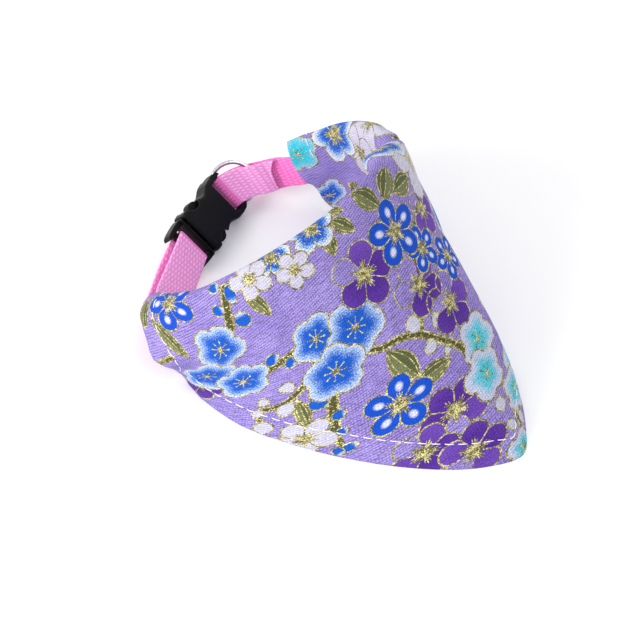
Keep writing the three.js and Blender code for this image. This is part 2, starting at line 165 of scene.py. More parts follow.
INNER_ROWS = 22  # from the casing's inner edge to the fold
OUTER_ROWS = 94  # from the fold to the hem
KNOT_STEPS = 60
WALL_KNOTS = 15
HANDLE = 0.34  # where the handles of the wall's curve stand, in parts of its reach
CORNER_CUT = 6.5  # how much the cloth's rounded corners are shorter than its outline
# Over how many degrees of turn each corner's rounding fades out.
NEAR_CORNER, FAR_CORNER, FAR_INNER_CORNER = 3.2, 4.5, 5
END_STRAIGHT = 12  # an end's hem is straight this far down, and then slants inwards
END_SLANT = 0.2
FACE_CLEARANCE = 0.35  # how high above the floor the cloth's face, its back and its rim stay
BACK_CLEARANCE = 0.12
RIM_CLEARANCE = 0.1


def cloth_row(turn):
    return np.moveaxis(from_table(CLOTH, turn), -1, 0)


def wall_point(turn, along):
    """The wall's outer face below the casing, from the seam (0) to the hem (1)."""
    x, y, z, belly, girth, _, flare = cloth_row(turn)
    away = outward(turn)
    top = beside(turn, girth + WALL - 0.2 + flare, -SEAM_DROP)
    foot = np.stack([x, y, z], -1) + TABLE_CENTRE
    reach = np.linalg.norm(top - foot, axis=-1, keepdims=True)
    swell = away * belly[..., None]
    tuck = away * 0.6 * np.maximum(belly - 2.5, 0)[..., None]
    upper = top - AXIS * HANDLE * reach + 0.3 * swell - tuck
    lower = foot + (top - foot) * HANDLE + swell
    u = along
    return (1 - u) ** 3 * top + 3 * (1 - u) ** 2 * u * upper + 3 * (1 - u) * u**2 * lower + u**3 * foot


def casing_point(turn, out, rise):
    """A point of the casing's section: out in parts of its half thickness, on its leaning section."""
    _, _, _, _, girth, fold, flare = cloth_row(turn)
    lean = flare / (fold + SEAM_DROP)
    return beside(turn, out * (girth + WALL) + lean * (fold - rise), rise)


# The casing's section: how far out it is in parts of its half thickness, how high above the collar line
# (or, at the top, how far below the fold), and how much of the gather's slump it takes.
INNER_SECTION = [(-0.72, -SEAM_DROP + 0.8, 0.3), (-0.97, -5.0, 0.75), (-1.0, 0.0, 0.95), (-0.96, 4.5, 1.08)]
TOP_SECTION = [(-0.66, 1.1, 1.02), (0, 0, 0.62), (0.66, 1.1, 0.22)]
OUTER_SECTION = [(0.96, 4.5, 0.04), (1.0, 0.0, 0.0), (0.97, -5.0, 0)]
USUAL_FOLD = 8.5  # the fold's height where the sections are as written
LINING_DROP = 16.0  # how far the inner layer goes on down behind the wall where the collar turns
END_LINING_DROP = 6.0  # how much further at the far end


def slump(turn):
    """How far the loose casing leans towards the neck, where the cloth bunches at the tight turn."""
    return 7.4 * hump(turn, 38, 18) + 1.2 * hump(turn, 76, 14)


def level(rise, fold):
    """A section's height at each turn: what is above the collar line goes down with a low fold."""
    return rise * np.where(rise > 0, fold / USUAL_FOLD, 1)


def lining_knots(turn):
    """The inner layer below its casing: it hangs behind the wall from the tight turn on."""
    away = outward(turn)
    lining = LINING_DROP * step_up(turn, 25, 60) + END_LINING_DROP * step_up(turn, 80, 100)
    hung = step_up(turn, 25, 45)[:, None]
    knots = []
    for share in (0.9, 0.5):
        below = casing_point(turn, -0.5, -SEAM_DROP - share * lining)
        apart = 1.6 - share * 0.6 + (5.2 - share * 4) * step_up(turn, 80, 105)
        behind = wall_point(turn, (share * lining / 24)[:, None]) - away * apart[:, None]
        knots.append(hung * behind + (1 - hung) * (below - AXIS * (share - 0.9) * 1.2))
    return knots


def cloth_paths(turn):
    """Knots from the casing's inner edge, over the fold, down to the hem, and the fold's number."""
    fold = cloth_row(turn)[5]
    away = outward(turn) * slump(turn)[:, None]

    def side(section):
        return [casing_point(turn, out, level(rise, fold)) - part * away for out, rise, part in section]

    top = [casing_point(turn, out, fold - drop) - part * away for out, drop, part in TOP_SECTION]
    wall = [wall_point(turn, share) for share in np.linspace(0, 1, WALL_KNOTS)]
    inner = lining_knots(turn) + side(INNER_SECTION)
    return np.array(inner + top + side(OUTER_SECTION) + wall), len(inner) + 1


def cloth_grid():
    """Outer-face points [row, column], with each point's place on the flat cloth and from its edges."""
    turn = np.linspace(CLOTH_START, CLOTH_END, COLUMNS)
    knots, fold = cloth_paths(turn)
    fine = along_knots(knots, np.linspace(0, 1, KNOT_STEPS * (len(knots) - 1) + 1))
    travelled = lengths_along(fine)
    travelled -= travelled[KNOT_STEPS * fold]
    starts = travelled[0] + CORNER_CUT * np.exp((turn - CLOTH_END) / FAR_INNER_CORNER)
    cut = np.exp((CLOTH_START - turn) / NEAR_CORNER) + np.exp((turn - CLOTH_END) / FAR_CORNER)
    ends = travelled[-1] - CORNER_CUT * cut
    inner = np.linspace(starts, np.zeros(COLUMNS), INNER_ROWS + 1)[:-1]
    down = np.concatenate([inner, np.linspace(np.zeros(COLUMNS), ends, OUTER_ROWS + 1)])
    points = np.zeros(down.shape + (3,))
    for i in range(COLUMNS):
        for k in range(3):
            points[:, i, k] = np.interp(down[:, i], travelled[:, i], fine[:, i, k])
    across = np.broadcast_to(turn * ACROSS, down.shape)
    slope = np.gradient(down[-1], turn * ACROSS)
    to_hem = (down[-1] - down) / np.sqrt(1 + slope**2)
    nearest = np.minimum(across - across[0, 0], across[0, -1] - across)
    to_end = nearest - END_SLANT * np.maximum(down - END_STRAIGHT, 0)
    return points, across, down, to_hem, to_end


def grid_normals(points):
    """Unit normals of a grid of points, pointing away from the neck."""
    return unit(np.cross(np.gradient(points, axis=0), np.gradient(points, axis=1)))


# Soft waves that the gathered cloth holds: across and down say where each is strongest and how far it
# spreads, length is from crest to crest along the cloth, height is the crest's, in millimetres.
WAVES = [
    # across, down, spread across, spread down, length, height, slant
    (-62, 26, 14, 12, 17, 0.45, 0.5),
    (-40, 62, 24, 10, 26, 0.35, 0.2),
    (-6, 58, 22, 22, 31, 0.45, -0.3),
    (46, 12, 9, 11, 8.5, 0.5, 0.12),
    (44, 30, 16, 16, 15, 0.6, -0.35),
    (-20, 13, 40, 6, 11, 0.14, 0.1),
    (70, 38, 22, 14, 19, 0.6, 0.25),
]


def wave_height(across, down):
    height = np.zeros(across.shape)
    for x, y, wide, painted_shade, length, tall, slant in WAVES:
        crest = np.cos(2 * math.pi * (across - x + slant * (down - y)) / length)
        height += tall * crest * hump(across, x, wide) * hump(down, y, painted_shade)
    return height


STITCH = 3.1
STITCH_GAP = 0.8
STITCH_DEPTH = 0.2  # how far a stitch pulls the cloth in
HEM_STITCH = 6.2  # from the hem's edge to its stitches
END_STITCH = 7.1  # from an end's edge to its stitches
HEM_RISE = 0.22  # how far a hem stands out


def seam_dip(distance, at, travelled):
    """How far a line of stitches pulls the cloth in, most where each stitch goes down."""
    tug = 0.6 + 0.4 * np.cos(2 * math.pi * travelled / (STITCH + STITCH_GAP))
    return STITCH_DEPTH * hump(distance, at, 0.55) * tug


def end_bulge(across, down):
    """How far the far end's edge stands out along the collar, at its casing and lower down."""
    far_edge = ACROSS * CLOTH_END
    return (2.2 * hump(down, -13, 7) + 1.2 * hump(down, 16, 10)) * step_up(across, far_edge - 12, far_edge)


def turned_up(distance, width):
    """1 where the cloth is doubled by a hem of that width, 0 past it."""
    return 1 - step_up(distance, width - 0.5, width + 0.3)


def bandana_surface():
    """The cloth's two faces and everything that its trimmings need."""
    points, across, down, to_hem, to_end = cloth_grid()
    points = points + unit(np.gradient(points, axis=1)) * end_bulge(across, down)[..., None]
    normals = grid_normals(points)
    hem = turned_up(to_hem, HEM_WIDTH)
    end = turned_up(to_end, END_HEM_WIDTH)
    off_floor = step_up(points[..., 2], 0.6, 6.0)
    lift = wave_height(across, down) * off_floor + HEM_RISE * np.maximum(hem, end)
    lift -= seam_dip(to_hem, HEM_STITCH, across) + seam_dip(to_end, END_STITCH, down)
    lift = np.where(down < 0, np.minimum(lift, 0.15), lift)
    thick = COTTON * (1 + 0.9 * np.maximum(hem, end * step_up(down, -14, -10)))
    outer = points + normals * (lift - COTTON / 2)[..., None]
    outer[..., 2] = np.maximum(outer[..., 2], FACE_CLEARANCE)
    back = outer - normals * thick[..., None]
    back[..., 2] = np.maximum(back[..., 2], BACK_CLEARANCE)
    return outer, back, normals, across, down, to_hem, to_end


# ---- Meshes ----
def new_object(name, mesh, material):
    piece = bpy.data.objects.new(name, mesh)
    bpy.context.scene.collection.objects.link(piece)
    piece.data.materials.append(material)
    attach(piece, "root")
    return piece


def mesh_of(name, vertices, faces):
    """A smooth mesh from points in millimetres."""
    mesh = bpy.data.meshes.new(name)
    mesh.from_pydata((np.asarray(vertices) * MM).tolist(), [], [tuple(int(i) for i in f) for f in faces])
    mesh.polygons.foreach_set("use_smooth", [True] * len(mesh.polygons))
    mesh.validate()
    mesh.update()
    return mesh


def grid_faces(numbers, closed=False):
    """Quads between the rows of a table of point numbers."""
    right = np.roll(numbers, -1, axis=1) if closed else numbers[:, 1:]
    left = numbers if closed else numbers[:, :-1]
    return np.stack([left[:-1], right[:-1], right[1:], left[1:]], -1).reshape(-1, 4)


def write_attribute(mesh, name, values, domain):
    made = mesh.attributes.new(name, "FLOAT_VECTOR", domain)
    made.data.foreach_set("vector", np.ascontiguousarray(values, np.float32).ravel())


def outward_faces(mesh, weld=0.0):
    """Turns every face outward, after joining the points that are nearer than weld."""
    work = bmesh.new()
    work.from_mesh(mesh)
    if weld:
        bmesh.ops.remove_doubles(work, verts=work.verts, dist=weld)
    bmesh.ops.recalc_face_normals(work, faces=work.faces)
    work.to_mesh(mesh)
    work.free()


def rim_loop(grid):
    """The border of a grid of point numbers, once round."""
    return np.concatenate([grid[0, :-1], grid[:-1, -1], grid[-1, :0:-1], grid[:0:-1, 0]])


def rim_rings(high, low):
    """Three rows of points that carry a loop of edge points on the face round to those on the back."""
    middle = (high + low) / 2
    ahead = np.roll(middle, -1, axis=0) - np.roll(middle, 1, axis=0)
    away = unit(np.cross(high - low, ahead))
    half = np.linalg.norm(high - low, axis=1, keepdims=True) / 2
    rings = []
    for a in (0.7, math.pi / 2, 2.44):
        ring = middle + away * half * math.sin(a) + (high - middle) * math.cos(a)
        ring[:, 2] = np.maximum(ring[:, 2], RIM_CLEARANCE)
        rings.append(ring)
    return rings


def bandana_mesh():
    outer, back, _, across, down, to_hem, to_end = bandana_surface()
    face = outer.reshape(-1, 3)
    wrong_side = back.reshape(-1, 3)
    count = len(face)
    top = np.arange(count).reshape(across.shape)
    loop = rim_loop(top)
    rings = rim_rings(face[loop], wrong_side[loop])
    numbers = [loop]
    numbers += [2 * count + len(loop) * k + np.arange(len(loop)) for k in range(len(rings))]
    numbers.append(loop + count)
    rim = grid_faces(np.array(numbers), closed=True)
    faces = np.concatenate([grid_faces(top)[:, ::-1], grid_faces(top + count), rim])
    mesh = mesh_of("bandana_cloth", np.concatenate([face, wrong_side] + rings), faces)

    flat = np.stack([across, down, np.zeros_like(down)], -1).reshape(-1, 3)
    folded = ((to_hem < HEM_WIDTH) | (to_end < END_HEM_WIDTH)).ravel()[:, None]
    behind = np.where(folded, flat + TURNED_SHIFT, flat + [0, 0, 1])
    places = np.concatenate([flat, behind] + [flat[loop]] * len(rings))
    write_attribute(mesh, "cloth_mm", places, "POINT")
    branch = to_branches(places[:, 0], places[:, 1])
    write_attribute(mesh, "branch_mm", np.stack([branch, branch, branch], -1), "POINT")
    for k, (place, form) in enumerate(motifs_at(places[faces].mean(axis=1)), 1):
        write_attribute(mesh, f"place_{k}", place, "FACE")
        write_attribute(mesh, f"form_{k}", form, "FACE")
    return mesh


# ---- The print, charted on the flat cloth ----
# Each row is a motif: across and down are millimetres from the middle of the fold, size is a flower's or
# bud's radius or half the length of a leaf, turn is in degrees from across towards down, and slim is a
# leaf's or bud's width in parts of its length, how far a flower's heart spreads, or a violet flower's
# petals. Later rows lie over earlier ones.
PLUM, STARRY, VIOLET, WHITE, AQUA, PANSY, LEAF, BLUE_BUD, WHITE_BUD = range(1, 10)
BRANCHES = [
    # half width, then the points that the branch runs through
    (1.15, [(-49.1, 3.5), (-52, 9.9), (-54.3, 15.6)]),
    (0.8, [(-46, 48), (-41, 46.5), (-37.5, 43), (-35.5, 40)]),
    (0.5, [(-46, 48), (-45.5, 52)]),
    (1.1, [(-46, 33), (-38, 30)]),
    (1.1, [(-30.5, 48), (-30.5, 59)]),
    (0.5, [(-30.5, 58), (-29.5, 65)]),
    (0.85, [(-22, 40), (-17.5, 42.5), (-13, 43), (-7, 46), (-3, 51), (0, 55), (1.5, 59)]),
    (0.5, [(-6, 44.5), (-4.5, 42.5)]),
    (0.7, [(7, 75), (6, 81), (5.5, 87)]),
    (0.6, [(20, 58), (21, 66), (19, 72)]),
    (0.8, [(-84, 23), (-76, 20)]),
    (0.8, [(36, 34), (42, 42), (44, 52)]),
]


def petals(shades):
    """A violet flower's petals from its turn onwards: d is dark, m is middling and . is left bare."""
    return sum(".md".index(shade) * 3**k for k, shade in enumerate(shades))


MOTIFS = [
    # kind, across, down, size, turn, slim
    (LEAF, -82, 6, 5, 100, 0.5),
    (LEAF, -74.5, 14, 8, 63, 0.24),
    (LEAF, -43, 12, 5.2, 72, 0.4),
    (LEAF, -36.7, 51, 5.2, 74, 0.3),
    (LEAF, -11, 0.8, 3.2, 42, 0.5),
    (LEAF, -11.5, 6.1, 4.3, 57, 0.5),
    (LEAF, -17.2, 7.9, 4.1, 98, 0.5),
    (LEAF, 8.7, 6.5, 5.3, -32, 0.66),
    (LEAF, -0.6, 4.9, 5.6, 64, 0.56),
    (LEAF, 15, 11.6, 5.8, 14, 0.56),
    (LEAF, -13.8, 50, 6.4, 66, 0.48),
    (LEAF, -7.6, 57, 4.8, 0, 0.5),
    (LEAF, 82, 22, 5, 20, 0.4),
    (LEAF, 40, 56, 5, 60, 0.45),
    (BLUE_BUD, -54.5, 9, 1.8, 0, 1),
    (BLUE_BUD, -49.5, 14.5, 2.4, -90, 1),
    (BLUE_BUD, -52.5, 2.2, 1.6, 0, 1),
    (BLUE_BUD, -48.5, 6, 3.0, 100, 0.55),
    (BLUE_BUD, -45.3, 30, 1.9, 0, 1),
    (BLUE_BUD, -40, 33, 1.7, 30, 1),
    (BLUE_BUD, -33.4, 49, 2.2, -60, 1),
    (BLUE_BUD, -29.4, 55, 1.5, 0, 1),
    (BLUE_BUD, -32.6, 57.5, 2.0, -45, 0.8),
    (BLUE_BUD, -29.2, 60.5, 1.4, 0, 0.8),
    (BLUE_BUD, -28, 66, 1.6, -20, 0.8),
    (BLUE_BUD, -30.2, 66.4, 1.5, 60, 0.7),
    (WHITE_BUD, -40.7, 41, 1.9, 30, 0.8),
    (WHITE_BUD, -40.3, 48.5, 2.2, 100, 0.85),
    (WHITE_BUD, -45.5, 44.8, 1.5, 60, 0.8),
    (WHITE_BUD, -46.2, 49, 1.5, 90, 0.8),
    (WHITE_BUD, -44.5, 54.5, 2.2, 90, 0.95),
    (WHITE_BUD, -7.6, 42.4, 2.5, 75, 0.78),
    (WHITE_BUD, -0.5, 47.3, 3.3, 75, 0.6),
    (WHITE_BUD, -5.9, 50.8, 1.7, 0, 1),
    (WHITE_BUD, -2.6, 54.8, 1.0, 0, 1),
    (WHITE_BUD, 2.6, 77.4, 2.1, 70, 0.78),
    (WHITE_BUD, 2.8, 84.4, 1.8, 70, 0.7),
    (WHITE_BUD, 7.6, 81, 1.3, 80, 0.8),
    (WHITE_BUD, 7.4, 86, 1.9, 80, 0.7),
    (WHITE_BUD, 19, 57, 3.2, 60, 0.5),
    (PANSY, -33.2, 2, 6, 80, 1),
    (PANSY, -19.6, 1.2, 7.4, 65, 1),
    (WHITE, -29.2, 8.8, 5.6, 40, 1),
    (WHITE, -41.3, 4.6, 6.3, 45, 1),
    (WHITE, -36.2, 60, 6.6, 20, 1),
    (WHITE, -44, 63, 5, 10, 1),
    (VIOLET, -62, 40, 7.0, 62, petals("ddddd")),
    (VIOLET, -6.8, 70, 8.0, 32, petals("m.ddd")),
    (VIOLET, -15, 76.2, 7.2, 14, petals("ddm.m")),
    (VIOLET, -6.4, 83.2, 7.4, 0, petals("dm.md")),
    (VIOLET, 18.5, 23, 7.6, 20, petals("mmm.m")),
    (PLUM, -60.5, 20.5, 8.0, 15, 1),
    (PLUM, -63, 33.5, 8.6, 40, 1),
    (PLUM, -52, 35.5, 6.9, 30, 1),
    (PLUM, -32.7, 29.7, 7.2, 10, 1),
    (PLUM, -22, 33, 8.6, 20, 1),
    (PLUM, -29.3, 41.8, 8.0, 55, 1),
    (VIOLET, -13.4, 21.8, 9.8, 5, petals("ddd.m")),
    (VIOLET, -0.2, 34.8, 8.8, 43, petals("dd..m")),
    (VIOLET, 5.9, 45.7, 8.7, 3, petals("mdd..")),
    (STARRY, -70, 3, 9.0, 36, 1),
    (STARRY, 15.9, 37.8, 6.6, -21, 1),
    (STARRY, 8, 28.8, 6.8, -7, 1),
    (STARRY, 2.2, 18.6, 9.8, -8, 1),
    (STARRY, -17, 59.8, 8.2, -8, 1),
    (AQUA, 7.4, 59.7, 7.3, 20, 1),
    (AQUA, 18, 73.5, 7.0, 50, 1),
    (AQUA, 11, 79.5, 6.0, 10, 1),
    (AQUA, 3.7, 67.9, 7.0, 50, 1),
    (AQUA, 3, 92, 5, 0, 1),
    (WHITE, 30, 12.2, 12.5, -6, 1),
    (WHITE, 57, 1, 11, 30, 1),
    (WHITE, 65, -11, 9.5, 15, 1),
    (LEAF, 77, -24, 5, 40, 0.4),
    (PLUM, 88, -23.8, 5.8, 30, 1),
    (PANSY, 28.5, 0.5, 9.5, 20, 1),
    (PANSY, 75.9, -3.6, 9.9, -63, 1),
    (AQUA, 92.4, -6.0, 7.0, 15, 1.5),
]
LAYERS = 4
MOTIF_REACH = 1.12  # a motif's outline and stamens stay inside this many times its size
FACE_REACH = 1.3  # from a face's middle to its corners, in cloth millimetres
NO_MOTIF = [0, 999, 999, 1, 0, 1]
REPEAT = (93.0, 88.0)  # the printed cloth repeats after this far across and down


def to_branches(across, down):
    """Distance to the nearest branch's edge, negative inside it."""
    nearest = np.full(across.shape, 99.0)
    for half, stops in BRANCHES:
        line = along_knots(stops, np.linspace(0, 1, 5 * (len(stops) - 1) + 1))
        for copy in (0, REPEAT[0]):
            for (x0, y0), (x1, y1) in zip(line[:-1], line[1:]):
                x, y, dx, dy = across - x0 - copy, down - y0, x1 - x0, y1 - y0
                share = np.clip((x * dx + y * dy) / (dx * dx + dy * dy), 0, 1)
                nearest = np.minimum(nearest, np.hypot(x - share * dx, y - share * dy) - half)
    return nearest


def whole_chart():
    """The motifs, and their repeats on the cloth that the chart doesn't reach."""
    charted = np.array(MOTIFS, float)
    repeats = []
    for right, below in ((1, 0), (0, -1), (1, -1), (-1, -1)):
        for row in charted + [0, right * REPEAT[0], below * REPEAT[1], 0, 0, 0]:
            _, x, y, size, _, _ = row
            free = np.hypot(charted[:, 1] - x, charted[:, 2] - y) > 0.8 * (charted[:, 3] + size)
            at_turn = 22 < x < 54 and -9 < y < 15
            at_far_end = x > 60 and -37 < y < 0
            if free.all() and (x > 24 or y < 0) and not at_turn and not at_far_end:
                repeats.append(row)
    return np.array(repeats + charted.tolist())


def motifs_at(middles):
    """For each face the last LAYERS motifs that reach it, as [(place, form)] from the lowest."""
    chart = whole_chart()
    nowhere = len(chart)
    held = np.full((LAYERS, len(middles)), nowhere)
    for number, (_, x, y, size, _, _) in enumerate(chart):
        near = np.hypot(middles[:, 0] - x, middles[:, 1] - y) < MOTIF_REACH * size + FACE_REACH
        held[:, near] = np.concatenate([held[1:, near], np.full((1, near.sum()), number)])
    chart = np.vstack([chart, NO_MOTIF])
    found = []
    for layer in held:
        kind, x, y, size, turn, slim = chart[layer].T
        found.append((np.stack([x, y, np.radians(turn)], -1), np.stack([size, kind, slim], -1)))
    return found


# ---- Shader maths ----
class Value:
    """A shader socket that works in Python expressions: each operator adds its Math node."""

    def __init__(self, tree, socket):
        self.tree = tree
        self.socket = socket

    def make(self, kind, settings=None, sockets=None, output=0):
        """One node: its settings are set first, and then its sockets get values or links."""
        node = self.tree.nodes.new("ShaderNode" + kind)
        for name, setting in (settings or {}).items():
            if name == "stops":
                set_stops(node.color_ramp, setting)
            elif name == "interpolation":
                node.color_ramp.interpolation = setting
            else:
                setattr(node, name, setting)
        for key, value in (sockets or {}).items():
            if isinstance(value, Value):
                self.tree.links.new(value.socket, node.inputs[key])
            else:
                node.inputs[key].default_value = value
        return Value(self.tree, node.outputs[output])

    def math(self, operation, *others):
        return self.make("Math", {"operation": operation}, dict(enumerate((self, *others))))

    def math_after(self, first, operation):
        return self.make("Math", {"operation": operation}, {0: first, 1: self})

    def __add__(self, other):
        return self.math("ADD", other)

    __radd__ = __add__

    def __sub__(self, other):
        return self.math("SUBTRACT", other)

    def __rsub__(self, other):
        return self.math_after(other, "SUBTRACT")

    def __mul__(self, other):
        return self.math("MULTIPLY", other)

    __rmul__ = __mul__

    def __truediv__(self, other):
        return self.math("DIVIDE", other)

    def __rtruediv__(self, other):
        return self.math_after(other, "DIVIDE")

    def __pow__(self, other):
        return self.math("POWER", other)

    def __rpow__(self, other):
        return self.math_after(other, "POWER")

    def __abs__(self):
        return self.math("ABSOLUTE")

    def __lt__(self, other):
        return self.math("LESS_THAN", other)

    def __gt__(self, other):
        return self.math("GREATER_THAN", other)

    def least(self, other):
        return self.math("MINIMUM", other)

    def most(self, other):
        return self.math("MAXIMUM", other)

    def rising(self, low, high):
        """0 below low, 1 above high, smooth between."""
        return self.make("MapRange", {"interpolation_type": "SMOOTHSTEP"}, {0: self, 1: low, 2: high})

    def choose(self, first, second):
        """first where this is 0, second where it is 1."""
        return first + self * (second - first)

    def parts(self):
        return [self.make("SeparateXYZ", None, {0: self}, k) for k in range(3)]

    def ramp(self, stops, interpolation="LINEAR"):
        return self.make("ValToRGB", {"stops": stops, "interpolation": interpolation}, {0: self})

    def blend(self, first, second):
        """The colour first where this is 0 and second where it is 1."""
        return self.make("Mix", {"data_type": "RGBA"}, {0: self, 6: first, 7: second}, 2)


def set_stops(ramp, stops):
    while len(ramp.elements) < len(stops):
        ramp.elements.new(1.0)
    for element, (at, colour) in zip(ramp.elements, stops):
        element.position = at
        element.color = colour


def length_of(x, y):
    return (x * x + y * y) ** 0.5


def srgb(red, green, blue):
    """A colour as seen on a screen, 0 to 255, as the shader's linear one."""
    def linear(v):
        v /= 255
        return v / 12.92 if v <= 0.04045 else ((v + 0.055) / 1.055) ** 2.4
    return (linear(red), linear(green), linear(blue), 1.0)


class Finish:
    """A new material with a Principled shader; its plain values are set on the shader's own sockets."""

    def __init__(self, name, **plain):
        self.material = bpy.data.materials.new(name)
        self.material.use_nodes = True
        self.tree = self.material.node_tree
        self.shader = self.tree.nodes["Principled BSDF"]
        self.start = Value(self.tree, None)
        for socket, value in plain.items():
            self.shader.inputs[socket.replace("_", " ")].default_value = value

    def attribute(self, name):
        return self.start.make("Attribute", {"attribute_name": name}, None, 1)

    def place(self):
        return self.start.make("TexCoord", None, None, 3)

    def noise(self, where, scale, detail=2.0):
        return self.start.make("TexNoise", None, {"Vector": where, "Scale": scale, "Detail": detail})

    def feed(self, socket, value):
        self.tree.links.new(value.socket, self.shader.inputs[socket])

    def bump(self, height, strength, distance):
        sockets = {"Strength": strength, "Distance": distance, "Height": height}
        self.feed("Normal", self.start.make("Bump", None, sockets))


# ---- The printed cotton ----
WRONG_SIDE = srgb(196, 184, 226)
BARK = srgb(84, 84, 48)
# The gold foil from dark olive to pale: partly its own speckle, and the pale end is painted glints where
# the foil would catch the light.
GOLD_AND_GLINTS = [(0.0, srgb(76, 72, 38)), (0.5, srgb(140, 131, 80)), (1.0, srgb(226, 217, 156))]
KIND_STEP = 1 / 12
OUTLINE = 0.23  # half the gold line's width
STAMENS = 8
WEFT_PITCH = 0.8
WARP_PITCH = 0.68
HALF_TURN = math.pi / 5  # half a petal's share of the flower

# Each kind's looks: its heart's colour and its rim's, and then three sets of numbers for a flower, in parts
# of its radius. PETALS: a petal's centre, half its width, the disc that joins the petals. FADES: where the
# heart's colour starts to fade and where it ends, the stamens' reach. MARKS: the gold star at the heart,
# then 1 for a pale spot on each petal, and 1 for petals that differ.
HEART, RIM, PETALS, FADES, MARKS = range(5)
LOOKS = {
    PLUM: (srgb(10, 92, 204), srgb(214, 216, 244), (0.57, 0.46, 0.80), (0.44, 0.97, 0.33), (0.12, 0, 0)),
    STARRY: (srgb(6, 80, 208), srgb(6, 74, 206), (0.64, 0.35, 0), (1.2, 1.4, 0), (0.33, 1, 0)),
    VIOLET: (srgb(84, 40, 152), srgb(120, 78, 188), (0.60, 0.40, 0), (0.5, 1.0, 0), (0.33, 0, 1)),
    WHITE: (srgb(212, 208, 230), srgb(216, 212, 233), (0.62, 0.35, 0), (1.2, 1.4, 0), (0.32, 0, 0)),
    AQUA: (srgb(52, 208, 228), srgb(204, 208, 234), (0.60, 0.42, 0.78), (0.25, 0.75, 0.34), (0.1, 0, 0)),
    PANSY: (srgb(12, 96, 208), srgb(228, 230, 246), (0.62, 0.40, 0), (0.5, 0.85, 0), (0.36, 0, 0)),
    LEAF: (srgb(92, 100, 62), srgb(122, 128, 86)),
    BLUE_BUD: (srgb(12, 94, 206), srgb(222, 232, 248)),
    WHITE_BUD: (srgb(208, 207, 227), srgb(206, 204, 232)),
}


def times(colour, share):
    """The colour with each part multiplied by a number, or by a colour's parts."""
    share = share if isinstance(share, tuple) else (share, share, share, 1.0)
    settings = {"data_type": "RGBA", "blend_type": "MULTIPLY"}
    return colour.make("Mix", settings, {0: 1.0, 6: colour, 7: share}, 2)


